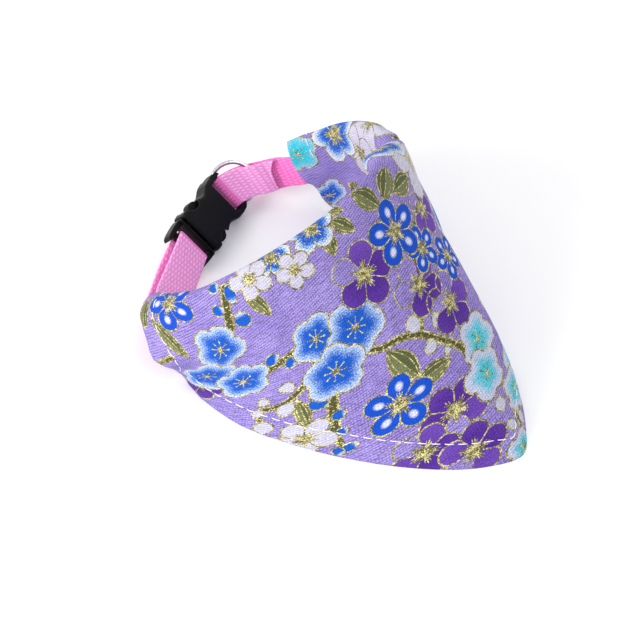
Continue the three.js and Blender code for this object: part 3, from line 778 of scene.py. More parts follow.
class Layer:
    """One layer of the print: each point's place in the motif that covers it there."""

    def __init__(self, finish, number, across, down, speck):
        x, y, turn = finish.attribute(f"place_{number}").parts()
        self.size, self.kind, self.slim = finish.attribute(f"form_{number}").parts()
        right, below = across - x, down - y
        cos, sin = turn.math("COSINE"), turn.math("SINE")
        self.u = (right * cos + below * sin) / self.size
        self.v = (below * cos - right * sin) / self.size
        self.far = length_of(self.u, self.v)
        self.angle = self.v.math("ARCTAN2", self.u)
        self.lobes = (self.angle * 5).math("COSINE")
        sector = self.angle * (0.5 / HALF_TURN)
        self.petal = sector.math("ROUND")
        self.swing = (sector - self.petal) * (2 * HALF_TURN)
        self.flower = self.kind < LEAF - 0.5
        self.leaf = (self.kind > LEAF - 0.5) * (self.kind < LEAF + 0.5)
        self.bud = self.kind > LEAF + 0.5
        self.star, self.spots, self.uneven = self.look(MARKS).parts()
        self.fade_start, self.fade_end, self.stamens = self.look(FADES).parts()
        self.speck = speck - 0.5

    def look(self, column):
        """One column of LOOKS, numbers or a colour, from a ramp with a step for each kind."""
        stops = []
        for kind, looks in LOOKS.items():
            value = looks[column] if column < len(looks) else (0, 0, 0)
            at = (kind - 0.5) * KIND_STEP if kind > 1 else 0.0
            stops.append((at, tuple(value) + (1.0,) * (4 - len(value))))
        return (self.kind * KIND_STEP).ramp(stops, "CONSTANT")

    def petal_edge(self):
        """Signed distance to the petals' edge, and the place in a petal, in parts of the radius."""
        middle, lobe, core = self.look(PETALS).parts()
        beyond = self.far * self.swing.math("COSINE") - middle
        aside = self.far * self.swing.math("SINE")
        reach = beyond.most(0) / (1 - middle) + beyond.least(0) / middle
        egg = (length_of(reach, aside / lobe) - 1) * lobe
        gap = 0 - self.far * (HALF_TURN - abs(self.swing)).math("SINE")
        joined = core > 0.01
        return joined.choose(egg.most(gap), egg.least(self.far - core)), beyond, aside

    def petal_shade(self):
        """2 on a middling petal of a violet flower, 1 on a dark one and 0 on a bare one."""
        order = (self.petal + 5).math("MODULO", 5)
        return (self.slim / 3**order).math("FLOOR").math("MODULO", 3)

    def paint(self, shade, beyond, aside):
        """The motif's colours without its gold."""
        drift = self.speck * 0.6
        even = 1 - self.uneven
        soft = (self.far / self.slim - self.lobes * 0.07 + drift).rising(self.fade_start, self.fade_end)
        fade = soft * self.flower * even
        dark = ((shade < 1.5) * 0.6 + drift + (self.far - 0.5) * 0.7).most(0)
        fade = fade + dark * self.uneven * self.flower
        fade = fade + (self.v + drift * 0.4).rising(-0.06, 0.06) * self.leaf
        fade = fade + (self.u + drift).rising(0.25, 1.0) * self.bud
        paint = fade.blend(self.look(HEART), self.look(RIM))
        halfway = fade * (1 - fade) * 2.4 * self.flower * even
        paint = halfway.blend(paint, times(paint, (0.5, 0.98, 1.0, 1.0)))
        spot = (1 - length_of((beyond + 0.04) / 0.16, aside / 0.12).rising(0.45, 1.25)) * self.spots
        return (spot * self.flower).blend(paint, srgb(226, 230, 250))

    def gold_marks(self):
        """Stamens with their tips, and a leaf's ribs."""
        ray = self.angle * (STAMENS / (2 * math.pi))
        off_ray = abs(ray - ray.math("ROUND")) * (2 * math.pi / STAMENS) * self.far * self.size
        rays = (off_ray < 0.14) * (self.far < self.stamens)
        tips = (length_of(off_ray, (self.far - self.stamens) * self.size) < 0.3) * (self.stamens > 0.05)
        breadth = (1 - self.u * self.u).most(0.02) * self.slim
        vein = self.v / breadth * 1.6 + 0.5
        rib = abs(vein.math("FRACT") - 0.5) * breadth * self.size < 0.24
        return (rays + tips) * self.flower + rib * self.leaf

    def gold_star(self):
        needles = abs((self.angle * 15).math("COSINE"))
        reach = 0.6 + 0.36 * self.lobes + 0.5 * needles * needles
        return (self.far < self.star * reach + self.speck * 0.08) * self.flower

    def over(self, colour, gold):
        """Paints the layer over the colour and the gold below it."""
        petal_edge, beyond, aside = self.petal_edge()
        leaf_edge = abs(self.v) - self.slim * (1 - self.u * self.u)
        bud_edge = length_of(self.u, self.v / self.slim) - 1
        edge = (petal_edge * self.flower + leaf_edge * self.leaf + bud_edge * self.bud) * self.size
        inside = edge < 0
        line = abs(edge - 0.06) < OUTLINE + self.speck * 0.3
        gilt = line.most(inside * self.gold_marks()).most(self.gold_star()).least(1)
        shade = self.petal_shade()
        bare = self.uneven * (shade < 0.5)
        cover = (inside * (1 - bare)).most(gilt)
        colour = cover.blend(colour, self.paint(shade, beyond, aside))
        return colour, (gold * (1 - cover) + gilt).least(1), cover


def cotton_weave(finish, across, down, side, speck):
    """Plain weave, over and under by turns, and how some threads are thicker than others."""
    place = across.make("CombineXYZ", None, {0: across * 0.3, 1: down * 1.5, 2: side})
    slub = finish.noise(place, 1.0, 2.0)
    weft = ((down + across * 0.25) * (2 * math.pi / WEFT_PITCH) + (speck - 0.5) * 5).math("SINE")
    warp = (across * (2 * math.pi / WARP_PITCH) + (slub - 0.5) * 4).math("SINE")
    return weft * 0.6 + warp * 0.3 + weft * warp * 0.5, slub


def printed_branches(finish, flat, speck):
    """Where a twig is, and where the gold on its edges and its bark is."""
    branch, _, _ = finish.attribute("branch_mm").parts()
    twig = branch < (speck - 0.5) * 0.3
    edges = abs(branch) < 0.3 + (speck - 0.5) * 0.3
    return twig, edges.most(twig * (finish.noise(flat, 1.5, 2.0) > 0.6))


def printed_cotton():
    finish = Finish("printed_cotton", Sheen_Weight=0.03, Sheen_Roughness=0.6, Specular_IOR_Level=0.2)
    flat = finish.attribute("cloth_mm")
    across, down, side = flat.parts()
    speck = finish.noise(flat, 2.4, 1.0)
    cloudy = finish.noise(flat, 0.09, 3.0)
    ground = cloudy.rising(0.3, 0.7).blend(srgb(142, 124, 197), srgb(160, 143, 213))
    weave, slub = cotton_weave(finish, across, down, side, speck)
    calm = 1 - across.rising(40, 62) * 0.5
    rough = ((weave * 0.7 + (slub - 0.5) * 1.6 + (speck - 0.5) * 2.2) * calm).rising(-0.9, 0.9)
    paint, gold = printed_branches(finish, flat, speck)
    colour = paint.blend(rough.blend(times(ground, 0.36), times(ground, 1.22)), BARK)
    for number in range(1, LAYERS + 1):
        colour, gold, cover = Layer(finish, number, across, down, speck).over(colour, gold)
        paint = paint.most(cover)
    colour = paint.blend(colour, rough.blend(times(colour, 0.56), times(colour, 0.97)))
    # Painted glints: noise lightens the gold foil from dark olive to pale in patches.
    glint = finish.noise(flat, 3.0, 1.0) * 0.6 + finish.noise(flat, 0.7, 1.0) * 0.4
    colour = gold.blend(colour, glint.rising(0.37, 0.63).ramp(GOLD_AND_GLINTS))
    behind = side.rising(0.4, 0.6)
    gilt = gold * (1 - behind)
    finish.feed("Base Color", (behind * 0.72).blend(colour, WRONG_SIDE))
    finish.feed("Metallic", gilt * 0.45)
    finish.feed("Roughness", 0.86 - gilt * 0.42)
    finish.bump(weave + slub * 2 + gilt * glint * 1.0, 0.6, 0.00012)
    return finish.material


# ---- The webbing ----
RIB_PITCH = 1.95  # along the strap
THREAD_PITCH = 1.0  # across it


def pink_webbing():
    finish = Finish("pink_webbing", Sheen_Weight=0.1, Sheen_Roughness=0.5, Specular_IOR_Level=0.3)
    where = finish.attribute("strap_mm")
    along, across, painted_shade = where.parts()
    row = along / RIB_PITCH
    number = row.math("FLOOR")
    column = across / THREAD_PITCH + number * 0.5
    in_row = abs(row - number - 0.5)
    in_column = abs(column - column.math("FLOOR") - 0.5)
    raised = (1 - in_row.rising(0.2, 0.4)) * (1 - in_column.rising(0.22, 0.42))
    fibre = finish.noise(where, 6.0, 2.0)
    ground = fibre.rising(0.3, 0.7).blend(srgb(240, 134, 208), srgb(250, 162, 224))
    colour = (raised * 0.6).blend(ground, srgb(255, 205, 240))
    # Painted shade: the turns round the buckle's bars and the layers away from the neck are darkened and
    # made more magenta.
    colour = painted_shade.blend(colour, times(colour, (1.0, 0.42, 0.72, 1.0)))
    finish.feed("Base Color", colour)
    finish.feed("Roughness", 0.62 + fibre * 0.25)
    finish.bump(raised + fibre * 0.3, 0.8, 0.00025)
    return finish.material


# ---- The collar's route ----
BUCKLE_WIDTH = 16.2
SOCKET_LENGTH = 23.5
SOCKET_THICKNESS = 6.2
PLUG_REACH = 6.8
BAR_RADIUS = 1.1
BUCKLE_MIDDLE = np.array([5.0, 30.4, 7.9]) + TABLE_CENTRE
BUCKLE_ALONG = unit(np.array([0.976, 0.205, -0.03]))
BUCKLE_INWARD = unit(np.cross(BUCKLE_ALONG, [0, 0.76, 0.65]))
BUCKLE_UPPER = np.cross(BUCKLE_INWARD, BUCKLE_ALONG)
BUCKLE_MOUTH = BUCKLE_MIDDLE - BUCKLE_ALONG * (SOCKET_LENGTH - PLUG_REACH) / 2
SOCKET_BAR = SOCKET_LENGTH - BAR_RADIUS - 0.1
PLUG_BAR = -PLUG_REACH + BAR_RADIUS + 0.1
BAR_LIFT = BAR_RADIUS + 0.37 + WEBBING_THICKNESS / 2
SEWN_LIFT = (WEBBING_THICKNESS + LAYER_GAP) / 2
RING_RADIUS = 7.1
WIRE_RADIUS = 0.75
RING_LIFT = WIRE_RADIUS + 0.9 + WEBBING_THICKNESS / 2
PLUG_SHIFT = -0.6  # how far the strap lies from the middle of the plug's bar
SEWN_SHARE = 0.38  # where the strap's end is sewn, in parts of the right run
RING_CROSSING = 0.68
RING_RISE = 3.9
RING_BITE = 0.5  # how deep the strap's fold lies inside the ring
RING_REST = (19, -0.7, -8.0)
# The turns inside the casing where the strap's two runs beside the buckle end.
ENTRY_RIGHT, ENTRY_LEFT = CLOTH_END - 8, CLOTH_START + 12
RISES = [(-107, -1.0), (-60, 0.5), (0, 1.4), (58, -2.2), (90, 0.0), (121, -2.5)]


def on_buckle(x, y, z):
    return BUCKLE_MOUTH + BUCKLE_ALONG * x + BUCKLE_UPPER * y + BUCKLE_INWARD * z


def on_arc(turn, out=0.0):
    """A point of the webbing in its casing, and its upper edge's direction."""
    turn = np.asarray(turn, float)
    rise = from_table(RISES, turn)[..., 0]
    _, _, _, _, _, fold, flare = cloth_row(turn)
    lean = flare / (fold + SEAM_DROP)
    upper = unit(AXIS - outward(turn) * lean[..., None])
    return beside(turn, out + lean * (fold - rise), rise), upper


def stop(x, y, z, upper):
    return np.array([x, y, z]) + TABLE_CENTRE, np.array(upper)


RIGHT_RUN = [
    on_arc(ENTRY_RIGHT), on_arc(CLOTH_END),
    stop(33.6, 23.8, 9.0, (0.1, 0.64, 0.76)), stop(29.6, 27.8, 7.9, (0.05, 0.7, 0.7)),
    stop(25.2, 31.4, 7.4, (0.02, 0.74, 0.67)), (on_buckle(SOCKET_BAR, 0, 0), BUCKLE_UPPER),
]
LEFT_RUN = [
    (on_buckle(PLUG_BAR, PLUG_SHIFT, 0), BUCKLE_UPPER),
    stop(-16.8, 23.5, 8.2, (-0.15, 0.8, 0.58)), stop(-27.1, 18.8, 9.6, (-0.3, 0.8, 0.5)),
    stop(-34.0, 15.8, 12.2, (-0.2, 0.74, 0.6)), on_arc(CLOTH_START), on_arc(ENTRY_LEFT),
]
# How far each layer stands off the run's middle line, at shares of the run.
RIGHT_LIFTS = [(0, 0), (SEWN_SHARE - 0.12, 0), (SEWN_SHARE, SEWN_LIFT), (SEWN_SHARE + 0.1, SEWN_LIFT + 0.2),
               (RING_CROSSING - 0.06, RING_LIFT), (RING_CROSSING + 0.08, RING_LIFT), (1, BAR_LIFT)]
LEFT_LIFTS = [(0, BAR_LIFT), (0.3, 2.6), (0.6, 2.6), (0.8, 2.2), (1, SEWN_LIFT)]
FAR_LEFT_LIFTS = [(0, BAR_LIFT), (0.25, 4.6), (0.5, 4.5), (0.78, 1.2), (1, SEWN_LIFT)]


def run_frames(run, lifts, from_share, to_share, side):
    """Frames along a run; side +1 is the layer towards the neck and -1 the one away from it."""
    share = np.linspace(from_share, to_share, 160)
    middle = np.array([point for point, _ in run])
    edge = np.array([upper for _, upper in run])
    point = along_knots(middle, share)
    upper = unit(along_knots(edge, share))
    heading = along_knots(middle, share + 1e-3) - along_knots(middle, share - 1e-3)
    normal = unit(np.cross(unit(heading), upper))
    half = along_knots(middle, [0.5])[0]
    way = along_knots(middle, [0.501])[0] - along_knots(middle, [0.499])[0]
    inward = np.sign(np.cross(way, along_knots(edge, [0.5])[0]) @ (COLLAR_CENTRE - half))
    lift = from_table(lifts, share)
    return point + normal * inward * side * lift, upper


def round_bar(x, side):
    """Half a turn round a bar of the buckle, from its neck side."""
    aside = PLUG_SHIFT if side > 0 else 0
    points = []
    for a in np.linspace(0, math.pi, 34)[1:-1]:
        points.append(on_buckle(x + side * BAR_LIFT * math.sin(a), aside, BAR_LIFT * math.cos(a)))
    return np.array(points), np.broadcast_to(BUCKLE_UPPER, (len(points), 3))


def webbing_frames():
    turns = np.linspace(ENTRY_RIGHT, ENTRY_LEFT, 300)
    share = (ENTRY_RIGHT - turns) / (ENTRY_RIGHT - ENTRY_LEFT)
    stretches = [
        # how much painted shade darkens it and turns it magenta, its width at its start and end in parts of
        # the usual one, its frames
        (0.0, 1.0, 1.14, run_frames(RIGHT_RUN, RIGHT_LIFTS, SEWN_SHARE, 1, 1)),
        (0.8, 1.14, 1.14, round_bar(SOCKET_BAR, -1)),
        (0.8, 1.14, 1.0, run_frames(RIGHT_RUN, RIGHT_LIFTS, 1, 0, -1)),
        (0.0, 1.0, 1.04, on_arc(turns, -SEWN_LIFT * share**4)),
        (0.0, 1.04, 1.16, run_frames(LEFT_RUN, LEFT_LIFTS, 1, 0, 1)),
        (0.8, 1.16, 1.16, round_bar(PLUG_BAR, 1)),
        (0.5, 1.16, 1.04, run_frames(LEFT_RUN, FAR_LEFT_LIFTS, 0, 1, -1)),
    ]
    rows = []
    for painted_shade, first, last, (points, uppers) in stretches:
        look = np.stack([np.full(len(points), painted_shade), np.linspace(first, last, len(points))], -1)
        rows.append((points, uppers, look))
    return tuple(np.concatenate(columns) for columns in zip(*rows))


def webbing_section(corner):
    """The strip's section, once round: how far across, and how far through in parts of its corners."""
    flat = np.linspace(-WEBBING_WIDTH / 2 + corner, WEBBING_WIDTH / 2 - corner, 21)
    bend = np.linspace(-math.pi / 2, math.pi / 2, 7)[1:-1]
    section = [(v, 1.0) for v in flat]
    section += [(flat[-1] + corner * math.cos(b), -math.sin(b)) for b in bend]
    section += [(v, -1.0) for v in flat[::-1]]
    section += [(flat[0] - corner * math.cos(b), math.sin(b)) for b in bend]
    return np.array(section).T


def webbing_mesh():
    """The strip with rounded selvages and a melted, hollow-cut start."""
    points, uppers, look = webbing_frames()
    kept = np.concatenate([[True], np.linalg.norm(np.diff(points, axis=0), axis=1) > 1e-3])
    points, uppers, look = points[kept], uppers[kept], look[kept]
    travelled = lengths_along(points)
    along = np.linspace(0, travelled[-1], int(travelled[-1] / WEBBING_STEP))

    def at(where, values):
        return np.stack([np.interp(where, travelled, values[:, k]) for k in range(values.shape[1])], -1)

    corner = WEBBING_THICKNESS / 2 - 0.05
    across, through = webbing_section(corner)
    cut = 1.5 * (1 - (across / (WEBBING_WIDTH / 2)) ** 2) + 3.2 * (0.5 - across / WEBBING_WIDTH)
    shifted = along[:, None] + cut * np.exp(-along[:, None] / 3.5)
    place = at(shifted, points)
    upper = unit(at(shifted, uppers))
    ahead = at(shifted + 0.05, points)
    behind = at(shifted - 0.05, points)
    heading = unit(np.where(shifted[..., None] > 0.05, ahead - behind, ahead - place))
    normal = unit(np.cross(heading, upper))
    bead = 1 + 0.35 * hump(along, 0, 0.9)[:, None]
    painted_shade, width = np.moveaxis(at(shifted, look), -1, 0)
    vertices = place + upper * (width * across)[..., None] + normal * (through * corner * bead)[..., None]
    numbers = np.arange(vertices[..., 0].size).reshape(vertices.shape[:2])
    faces = grid_faces(numbers, closed=True).tolist()
    faces += [numbers[0][::-1].tolist(), numbers[-1].tolist()]
    mesh = mesh_of("webbing_strap", vertices.reshape(-1, 3), faces)
    flat_place = np.stack([shifted, np.broadcast_to(across, shifted.shape), painted_shade], -1)
    write_attribute(mesh, "strap_mm", flat_place.reshape(-1, 3), "POINT")
    outward_faces(mesh)
    return mesh


# ---- Stitches ----
def stitched_line(points, normals):
    """Dashes of thread along a line on the cloth, each arched and going down at its ends."""
    travelled = lengths_along(points)
    vertices, faces = [], []
    rings, sides = 9, 8
    start = 0.6
    while start + STITCH < travelled[-1]:
        base = len(vertices)
        ts = np.linspace(0, 1, rings)
        where = start + ts * STITCH
        place = np.stack([np.interp(where, travelled, points[:, k]) for k in range(3)], -1)
        up = unit(np.stack([np.interp(where, travelled, normals[:, k]) for k in range(3)], -1))
        heading = unit(np.gradient(place, axis=0))
        aside = np.cross(heading, up)
        arch = THREAD * (2.6 * np.sqrt(np.clip(1 - (2 * ts - 1) ** 2, 0, 1)) - 1.5)
        thick = THREAD * (0.72 + 0.28 * np.sin(math.pi * ts))
        for k in range(rings):
            for j in range(sides):
                a = 2 * math.pi * j / sides
                out = aside[k] * math.cos(a) + up[k] * math.sin(a) * 0.85
                vertices.append(place[k] + up[k] * arch[k] + out * thick[k])
        numbers = base + np.arange(rings * sides).reshape(rings, sides)
        faces += grid_faces(numbers, closed=True).tolist()
        faces += [numbers[0][::-1].tolist(), numbers[-1].tolist()]
        start += STITCH + STITCH_GAP
    return vertices, faces


def contour(outer, normals, height, level):
    """Where each column's height crosses a level: (points, normals)."""
    found = []
    for i in range(height.shape[1]):
        column = height[:, i]
        order = np.argsort(column)
        if column.min() < level < column.max():
            lines = [value[order, i, k] for value in (outer, normals) for k in range(3)]
            found.append([np.interp(level, column[order], line) for line in lines])
    found = np.array(found)
    return found[:, :3], unit(found[:, 3:])


def stitching_mesh():
    outer, _, normals, _, _, to_hem, to_end = bandana_surface()
    inside = np.where(to_end[-1] > END_STITCH - 0.3)[0]
    wall, shown = slice(INNER_ROWS, None), slice(inside[0], inside[-1] + 1)
    lines = [contour(outer[wall, shown], normals[wall, shown], to_hem[wall, shown], HEM_STITCH)]
    rows = slice(INNER_ROWS - 8, len(outer) - 6)
    for side in (slice(None, COLUMNS // 2), slice(COLUMNS // 2, None)):
        turned = [value[rows, side].swapaxes(0, 1) for value in (outer, normals, to_end)]
        lines.append(contour(*turned, END_STITCH))
    vertices, faces = [], []
    for points, directions in lines:
        more, quads = stitched_line(points, directions)
        faces += [[i + len(vertices) for i in quad] for quad in quads]
        vertices += more
    mesh = mesh_of("hem_stitching", vertices, faces)
    outward_faces(mesh)
    return mesh


def sewing_thread():
    finish = Finish("sewing_thread", Sheen_Weight=0.2, Specular_IOR_Level=0.4)
    where = finish.place()
    fibre = finish.noise(where, 5200.0, 2.0)
    finish.feed("Base Color", fibre.rising(0.2, 0.8).blend(srgb(226, 222, 240), srgb(250, 248, 255)))
    finish.feed("Roughness", 0.5 + fibre * 0.25)
    finish.bump(fibre, 0.5, 0.00008)
    return finish.material


# ---- The buckle ----
def rounded(stops, rounds=2):
    """Corner cutting: a closed outline's corners become smooth curves."""
    points = np.array(stops, float)
    for _ in range(rounds):
        following = np.roll(points, -1, axis=0)
        cuts = [0.78 * points + 0.22 * following, 0.22 * points + 0.78 * following]
        points = np.stack(cuts, 1).reshape(-1, 2)
    return points


def mirrored(stops):
    """A whole outline from its upper half."""
    return stops + [(x, -y) for x, y in reversed(stops)]


def slab(outline, low, high, ease=0.0):
    """An object with that outline between two heights, its edges eased."""
    curve = bpy.data.curves.new("slab", "CURVE")
    curve.dimensions = "2D"
    curve.fill_mode = "BOTH"
    spline = curve.splines.new("POLY")
    spline.points.add(len(outline) - 1)
    for point, (x, y) in zip(spline.points, outline):
        point.co = (x, y, 0, 1)
    spline.use_cyclic_u = True
    curve.extrude = (high - low) / 2 - ease
    curve.bevel_depth = ease
    curve.bevel_resolution = 3
    curve.offset = -ease
    flat = bpy.data.objects.new("slab", curve)
    bpy.context.scene.collection.objects.link(flat)
    made = evaluated(flat)
    made.data.transform(Matrix.Translation((0, 0, (high + low) / 2)))
    outward_faces(made.data, weld=1e-5)
    return made


def brick(low, high):
    (x0, y0, z0), (x1, y1, z1) = low, high
    return slab([(x0, y0), (x1, y0), (x1, y1), (x0, y1)], z0, z1)


def rod(x, reach, radius):
    mesh = bpy.data.meshes.new("rod")
    work = bmesh.new()
    turned = Matrix.Translation((x, 0, 0)) @ Matrix.Rotation(math.pi / 2, 4, "X")
    sizes = {"radius1": radius, "radius2": radius, "depth": 2 * reach}
    bmesh.ops.create_cone(work, cap_ends=True, segments=32, matrix=turned, **sizes)
    work.to_mesh(mesh)
    work.free()
    made = bpy.data.objects.new("rod", mesh)
    bpy.context.scene.collection.objects.link(made)
    return made


def evaluated(source):
    """The object's mesh with its modifiers applied, as a new object; the source is removed."""
    bpy.context.view_layer.update()
    mesh = bpy.data.meshes.new_from_object(source.evaluated_get(bpy.context.evaluated_depsgraph_get()))
    made = bpy.data.objects.new(source.name, mesh)
    bpy.data.objects.remove(source)
    bpy.context.scene.collection.objects.link(made)
    return made


def combined(first, others, operation):
    for other in others:
        modifier = first.modifiers.new("cut", "BOOLEAN")
        modifier.operation = operation
        modifier.solver = "EXACT"
        modifier.object = other
    made = evaluated(first)
    for other in others:
        bpy.data.objects.remove(other)
    return made


MOULD_GRAIN = 0.16  # how finely the moulded surface is rebuilt


def moulded(made, name, material):
    """Even, softly rounded edges, as a mould leaves them; then out of the buckle's frame into place."""
    remesh = made.modifiers.new("even", "REMESH")
    remesh.mode = "VOXEL"
    remesh.voxel_size = MOULD_GRAIN
    soften = made.modifiers.new("soft", "SMOOTH")
    soften.factor = 0.5
    soften.iterations = 4
    made = evaluated(made)
    columns = [BUCKLE_ALONG, BUCKLE_UPPER, BUCKLE_INWARD, BUCKLE_MOUTH]
    place = Matrix([[*(c[k] for c in columns)] for k in range(3)] + [[0, 0, 0, 1]])
    made.data.transform(place)
    made.data.transform(Matrix.Scale(MM, 4))
    made.data.polygons.foreach_set("use_smooth", [True] * len(made.data.polygons))
    made.data.materials.clear()
    made.data.materials.append(material)
    made.name = name
    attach(made, "root")
    return made


HALF = BUCKLE_WIDTH / 2
WELL = SOCKET_THICKNESS - 2.4  # the hollow's height
SLOT_HALF = WEBBING_WIDTH / 2 + 1.0  # half the strap slots' width
SLOT_START = SOCKET_LENGTH - 6.6
RAIL_TOP = 2.4  # the rails beside the strap slots, above and below the buckle's middle
RAIL_BACK = 1.2
PLUG_RAIL_TOP = 1.4
BAR_HALF = SLOT_HALF + 0.4  # half a bar's length, with its ends in the rails
FIT = 0.35  # room round the plug's arms and guide in the hollow
PAST = 5  # well past the buckle's faces, for the shapes that cut it


def socket_object():
    outline = mirrored([
        (0, HALF - 0.6), (1.0, HALF), (5, HALF), (8.3, HALF - 0.5), (10.6, HALF - 1.7),
        (12.6, HALF - 1.9), (14.2, HALF - 1.2), (16.2, HALF - 0.3),
        (SOCKET_LENGTH - 2.0, HALF - 0.2), (SOCKET_LENGTH, HALF - 1.6),
    ])
    body = slab(rounded(outline), -SOCKET_THICKNESS / 2, SOCKET_THICKNESS / 2, 0.8)
    step = SLOT_START + 1.5
    end = SOCKET_LENGTH + 1
    mouth = brick((-1, -HALF + 1.5, -WELL / 2), (11.5, HALF - 1.5, WELL / 2))
    windows = brick((2.4, -HALF - 1, -WELL / 2), (9.6, HALF + 1, WELL / 2))
    slot = brick((SLOT_START, -SLOT_HALF, -PAST), (end, SLOT_HALF, PAST))
    above_rails = brick((step, -HALF - 1, RAIL_TOP), (end, HALF + 1, PAST))
    below_rails = brick((step, -HALF - 1, -PAST), (end, HALF + 1, -RAIL_BACK))
    cuts = [mouth, windows, slot, above_rails, below_rails]
    for side in (1, -1):
        scoop = rounded([
            (2.4, side * (HALF + 1)), (3.4, side * (HALF - 1.4)), (6.2, side * (HALF - 2.6)),
            (8.8, side * (HALF - 2.2)), (10.2, side * (HALF + 1)),
        ])
        cuts.append(slab(scoop, WELL / 2 - 0.5, PAST))
        cuts.append(slab(scoop, -PAST, -WELL / 2 + 0.5))
    body = combined(body, cuts, "DIFFERENCE")
    return combined(body, [rod(SOCKET_BAR, BAR_HALF, BAR_RADIUS)], "UNION")


def plug_object():
    outline = mirrored([
        (-PLUG_REACH - 2.6, HALF - 2.0), (-PLUG_REACH - 1.4, HALF - 0.6),
        (-1.2, HALF - 0.1), (-FIT, HALF - 0.9),
    ])
    head = slab(rounded(outline), -RAIL_TOP, RAIL_TOP, 0.7)
    slot = brick((-PLUG_REACH - 4, -SLOT_HALF, -PAST), (-1.6, SLOT_HALF, PAST))
    head = combined(head, [slot], "DIFFERENCE")
    above_rails = brick((-PLUG_REACH - 5, -HALF - 1, PLUG_RAIL_TOP), (-1.7, HALF + 1, 6))
    head = combined(head, [above_rails], "DIFFERENCE")
    low, high = -WELL / 2 + FIT, WELL / 2 - FIT
    inner_parts = []
    for side in (1, -1):
        arm = [(-1, 3.2), (2.8, 4.6), (4.8, HALF - 0.1), (7.8, HALF), (9.4, HALF - 1.9), (9.2, HALF - 3.9),
               (7.0, HALF - 2.9), (5.0, 4.2), (2.8, 2.6), (-1, 1.4)]
        inner_parts.append(slab(rounded([(x, side * y) for x, y in arm]), low, high, 0.3))
    guide = brick((-1, -0.6, low), (8, 0.6, high))
    bar = rod(PLUG_BAR, BAR_HALF, BAR_RADIUS)
    return combined(head, inner_parts + [guide, bar], "UNION")


def black_plastic():
    finish = Finish("black_plastic", Specular_IOR_Level=0.17)
    where = finish.place()
    grain = finish.noise(where, 2600.0, 3.0)
    smudge = finish.noise(where, 160.0, 3.0)
    finish.feed("Base Color", smudge.rising(0.3, 0.75).blend(srgb(3, 3, 4), srgb(6, 6, 8)))
    finish.feed("Roughness", 0.3 + smudge * 0.16)
    finish.bump(grain, 0.12, 0.00006)
    return finish.material


# ---- The ring ----
def ring_mesh():
    middle = np.array([point for point, _ in RIGHT_RUN])
    edge = np.array([upper for _, upper in RIGHT_RUN])
    width = unit(along_knots(edge, [RING_CROSSING])[0])
    crossing = along_knots(middle, [RING_CROSSING])[0] + width * RING_RISE
    across = unit(on_buckle(*RING_REST) - crossing)
    through = unit(np.cross(across, width))
    upper = np.cross(through, across)
    centre = crossing + across * (RING_RADIUS - RING_BITE)
    rounds, sides = 160, 24  # round the ring, and round its wire
    a = np.linspace(0, 2 * math.pi, rounds, endpoint=False)[:, None, None]
    b = np.linspace(0, 2 * math.pi, sides, endpoint=False)[None, :, None]
    spoke = across * np.cos(a) + upper * np.sin(a)
    points = centre + spoke * (RING_RADIUS + WIRE_RADIUS * np.cos(b)) + through * WIRE_RADIUS * np.sin(b)
    numbers = np.arange(rounds * sides).reshape(rounds, sides)
    numbers = np.concatenate([numbers, numbers[:1]])
    mesh = mesh_of("wire_ring", points.reshape(-1, 3), grid_faces(numbers, closed=True))
    outward_faces(mesh)
    return mesh


def plated_wire():
    finish = Finish("plated_wire", Metallic=1.0)
    where = finish.place()
    scuff = finish.noise(where, 900.0, 4.0)
    finish.feed("Base Color", scuff.rising(0.3, 0.7).blend(srgb(206, 206, 212), srgb(234, 234, 238)))
    finish.feed("Roughness", 0.12 + scuff * 0.12)
    finish.bump(scuff, 0.06, 0.00004)
    return finish.material


# ---- Camera, floor and light ----
CAMERA_AZIMUTH = math.radians(-54)
CAMERA_ELEVATION = math.radians(49)
CAMERA_DISTANCE = 0.6
AIM = Vector((-6.44, 4.38, 9.43)) * MM
LENS = 113.06
FLOOR_HALF = 4000
DAYLIGHT = 0.84
LAMPS = [
    # place in metres, from which it shines on the origin; width; watts
    ("key", (-0.2, -0.45, 0.8), 0.5, 1.5),
    ("fill", (0.6, 0.1, 0.6), 0.6, 0.8),
    ("left", (-0.85, 0.35, 0.35), 0.6, 8.4),
]


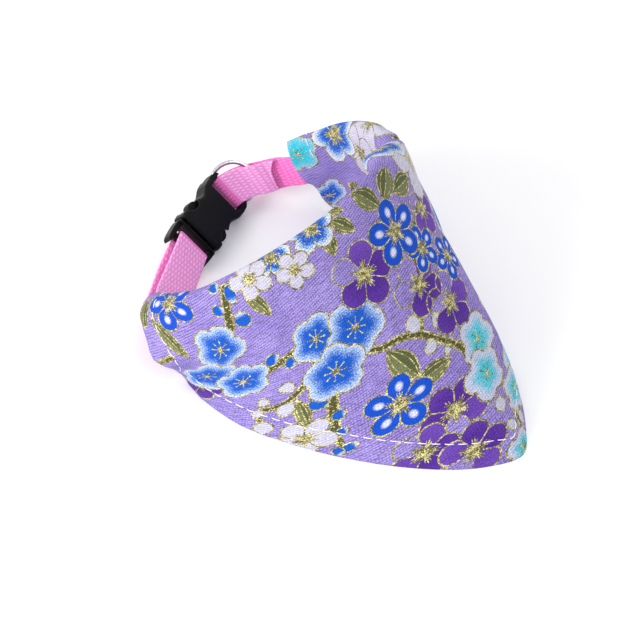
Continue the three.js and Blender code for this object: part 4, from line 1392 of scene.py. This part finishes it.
def stand(name, data, place, back):
    """A camera or lamp at a place, its back in that direction."""
    thing = bpy.data.objects.new(name, data)
    thing.location = place
    thing.rotation_mode = "QUATERNION"
    thing.rotation_quaternion = (-back).to_track_quat("-Z", "Y")
    bpy.context.scene.collection.objects.link(thing)
    return thing


def set_camera():
    level_share = math.cos(CAMERA_ELEVATION)
    back = Vector((math.sin(CAMERA_AZIMUTH) * level_share,
                   -math.cos(CAMERA_AZIMUTH) * level_share, math.sin(CAMERA_ELEVATION)))
    data = bpy.data.cameras.new("camera")
    data.lens = LENS
    data.sensor_width = 36
    data.clip_start = 0.01
    bpy.context.scene.camera = stand("camera", data, AIM + back * CAMERA_DISTANCE, back)


def set_floor():
    corners = [(-1, -1, 0), (1, -1, 0), (1, 1, 0), (-1, 1, 0)]
    mesh = mesh_of("floor", np.array(corners) * FLOOR_HALF, [(0, 1, 2, 3)])
    paper = Finish("pale_floor", Base_Color=(0.96, 0.96, 0.965, 1), Roughness=0.9, Specular_IOR_Level=0.1)
    mesh.materials.append(paper.material)
    floor = bpy.data.objects.new("floor", mesh)
    bpy.context.scene.collection.objects.link(floor)


def set_lights():
    world = bpy.data.worlds.new("studio")
    world.use_nodes = True
    background = world.node_tree.nodes["Background"]
    background.inputs["Color"].default_value = (1, 1, 1, 1)
    background.inputs["Strength"].default_value = DAYLIGHT
    bpy.context.scene.world = world
    for name, place, size, watts in LAMPS:
        lamp = bpy.data.lights.new(name, "AREA")
        lamp.energy = watts
        lamp.size = size
        stand(name, lamp, place, Vector(place))
    bpy.context.scene.view_settings.view_transform = "Standard"


# ---- Everything together ----
set_camera()
set_floor()
set_lights()

cloth = new_object("bandana_cloth", bandana_mesh(), printed_cotton())
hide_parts("bandana")

stitching = new_object("hem_stitching", stitching_mesh(), sewing_thread())

strap = new_object("webbing_strap", webbing_mesh(), pink_webbing())
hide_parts("webbing")

plastic = black_plastic()
socket = moulded(socket_object(), "buckle_socket_body", plastic)
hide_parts("buckle_socket")

plug = moulded(plug_object(), "buckle_plug_body", plastic)
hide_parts("buckle_plug")

ring = new_object("wire_ring", ring_mesh(), plated_wire())
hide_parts("ring")
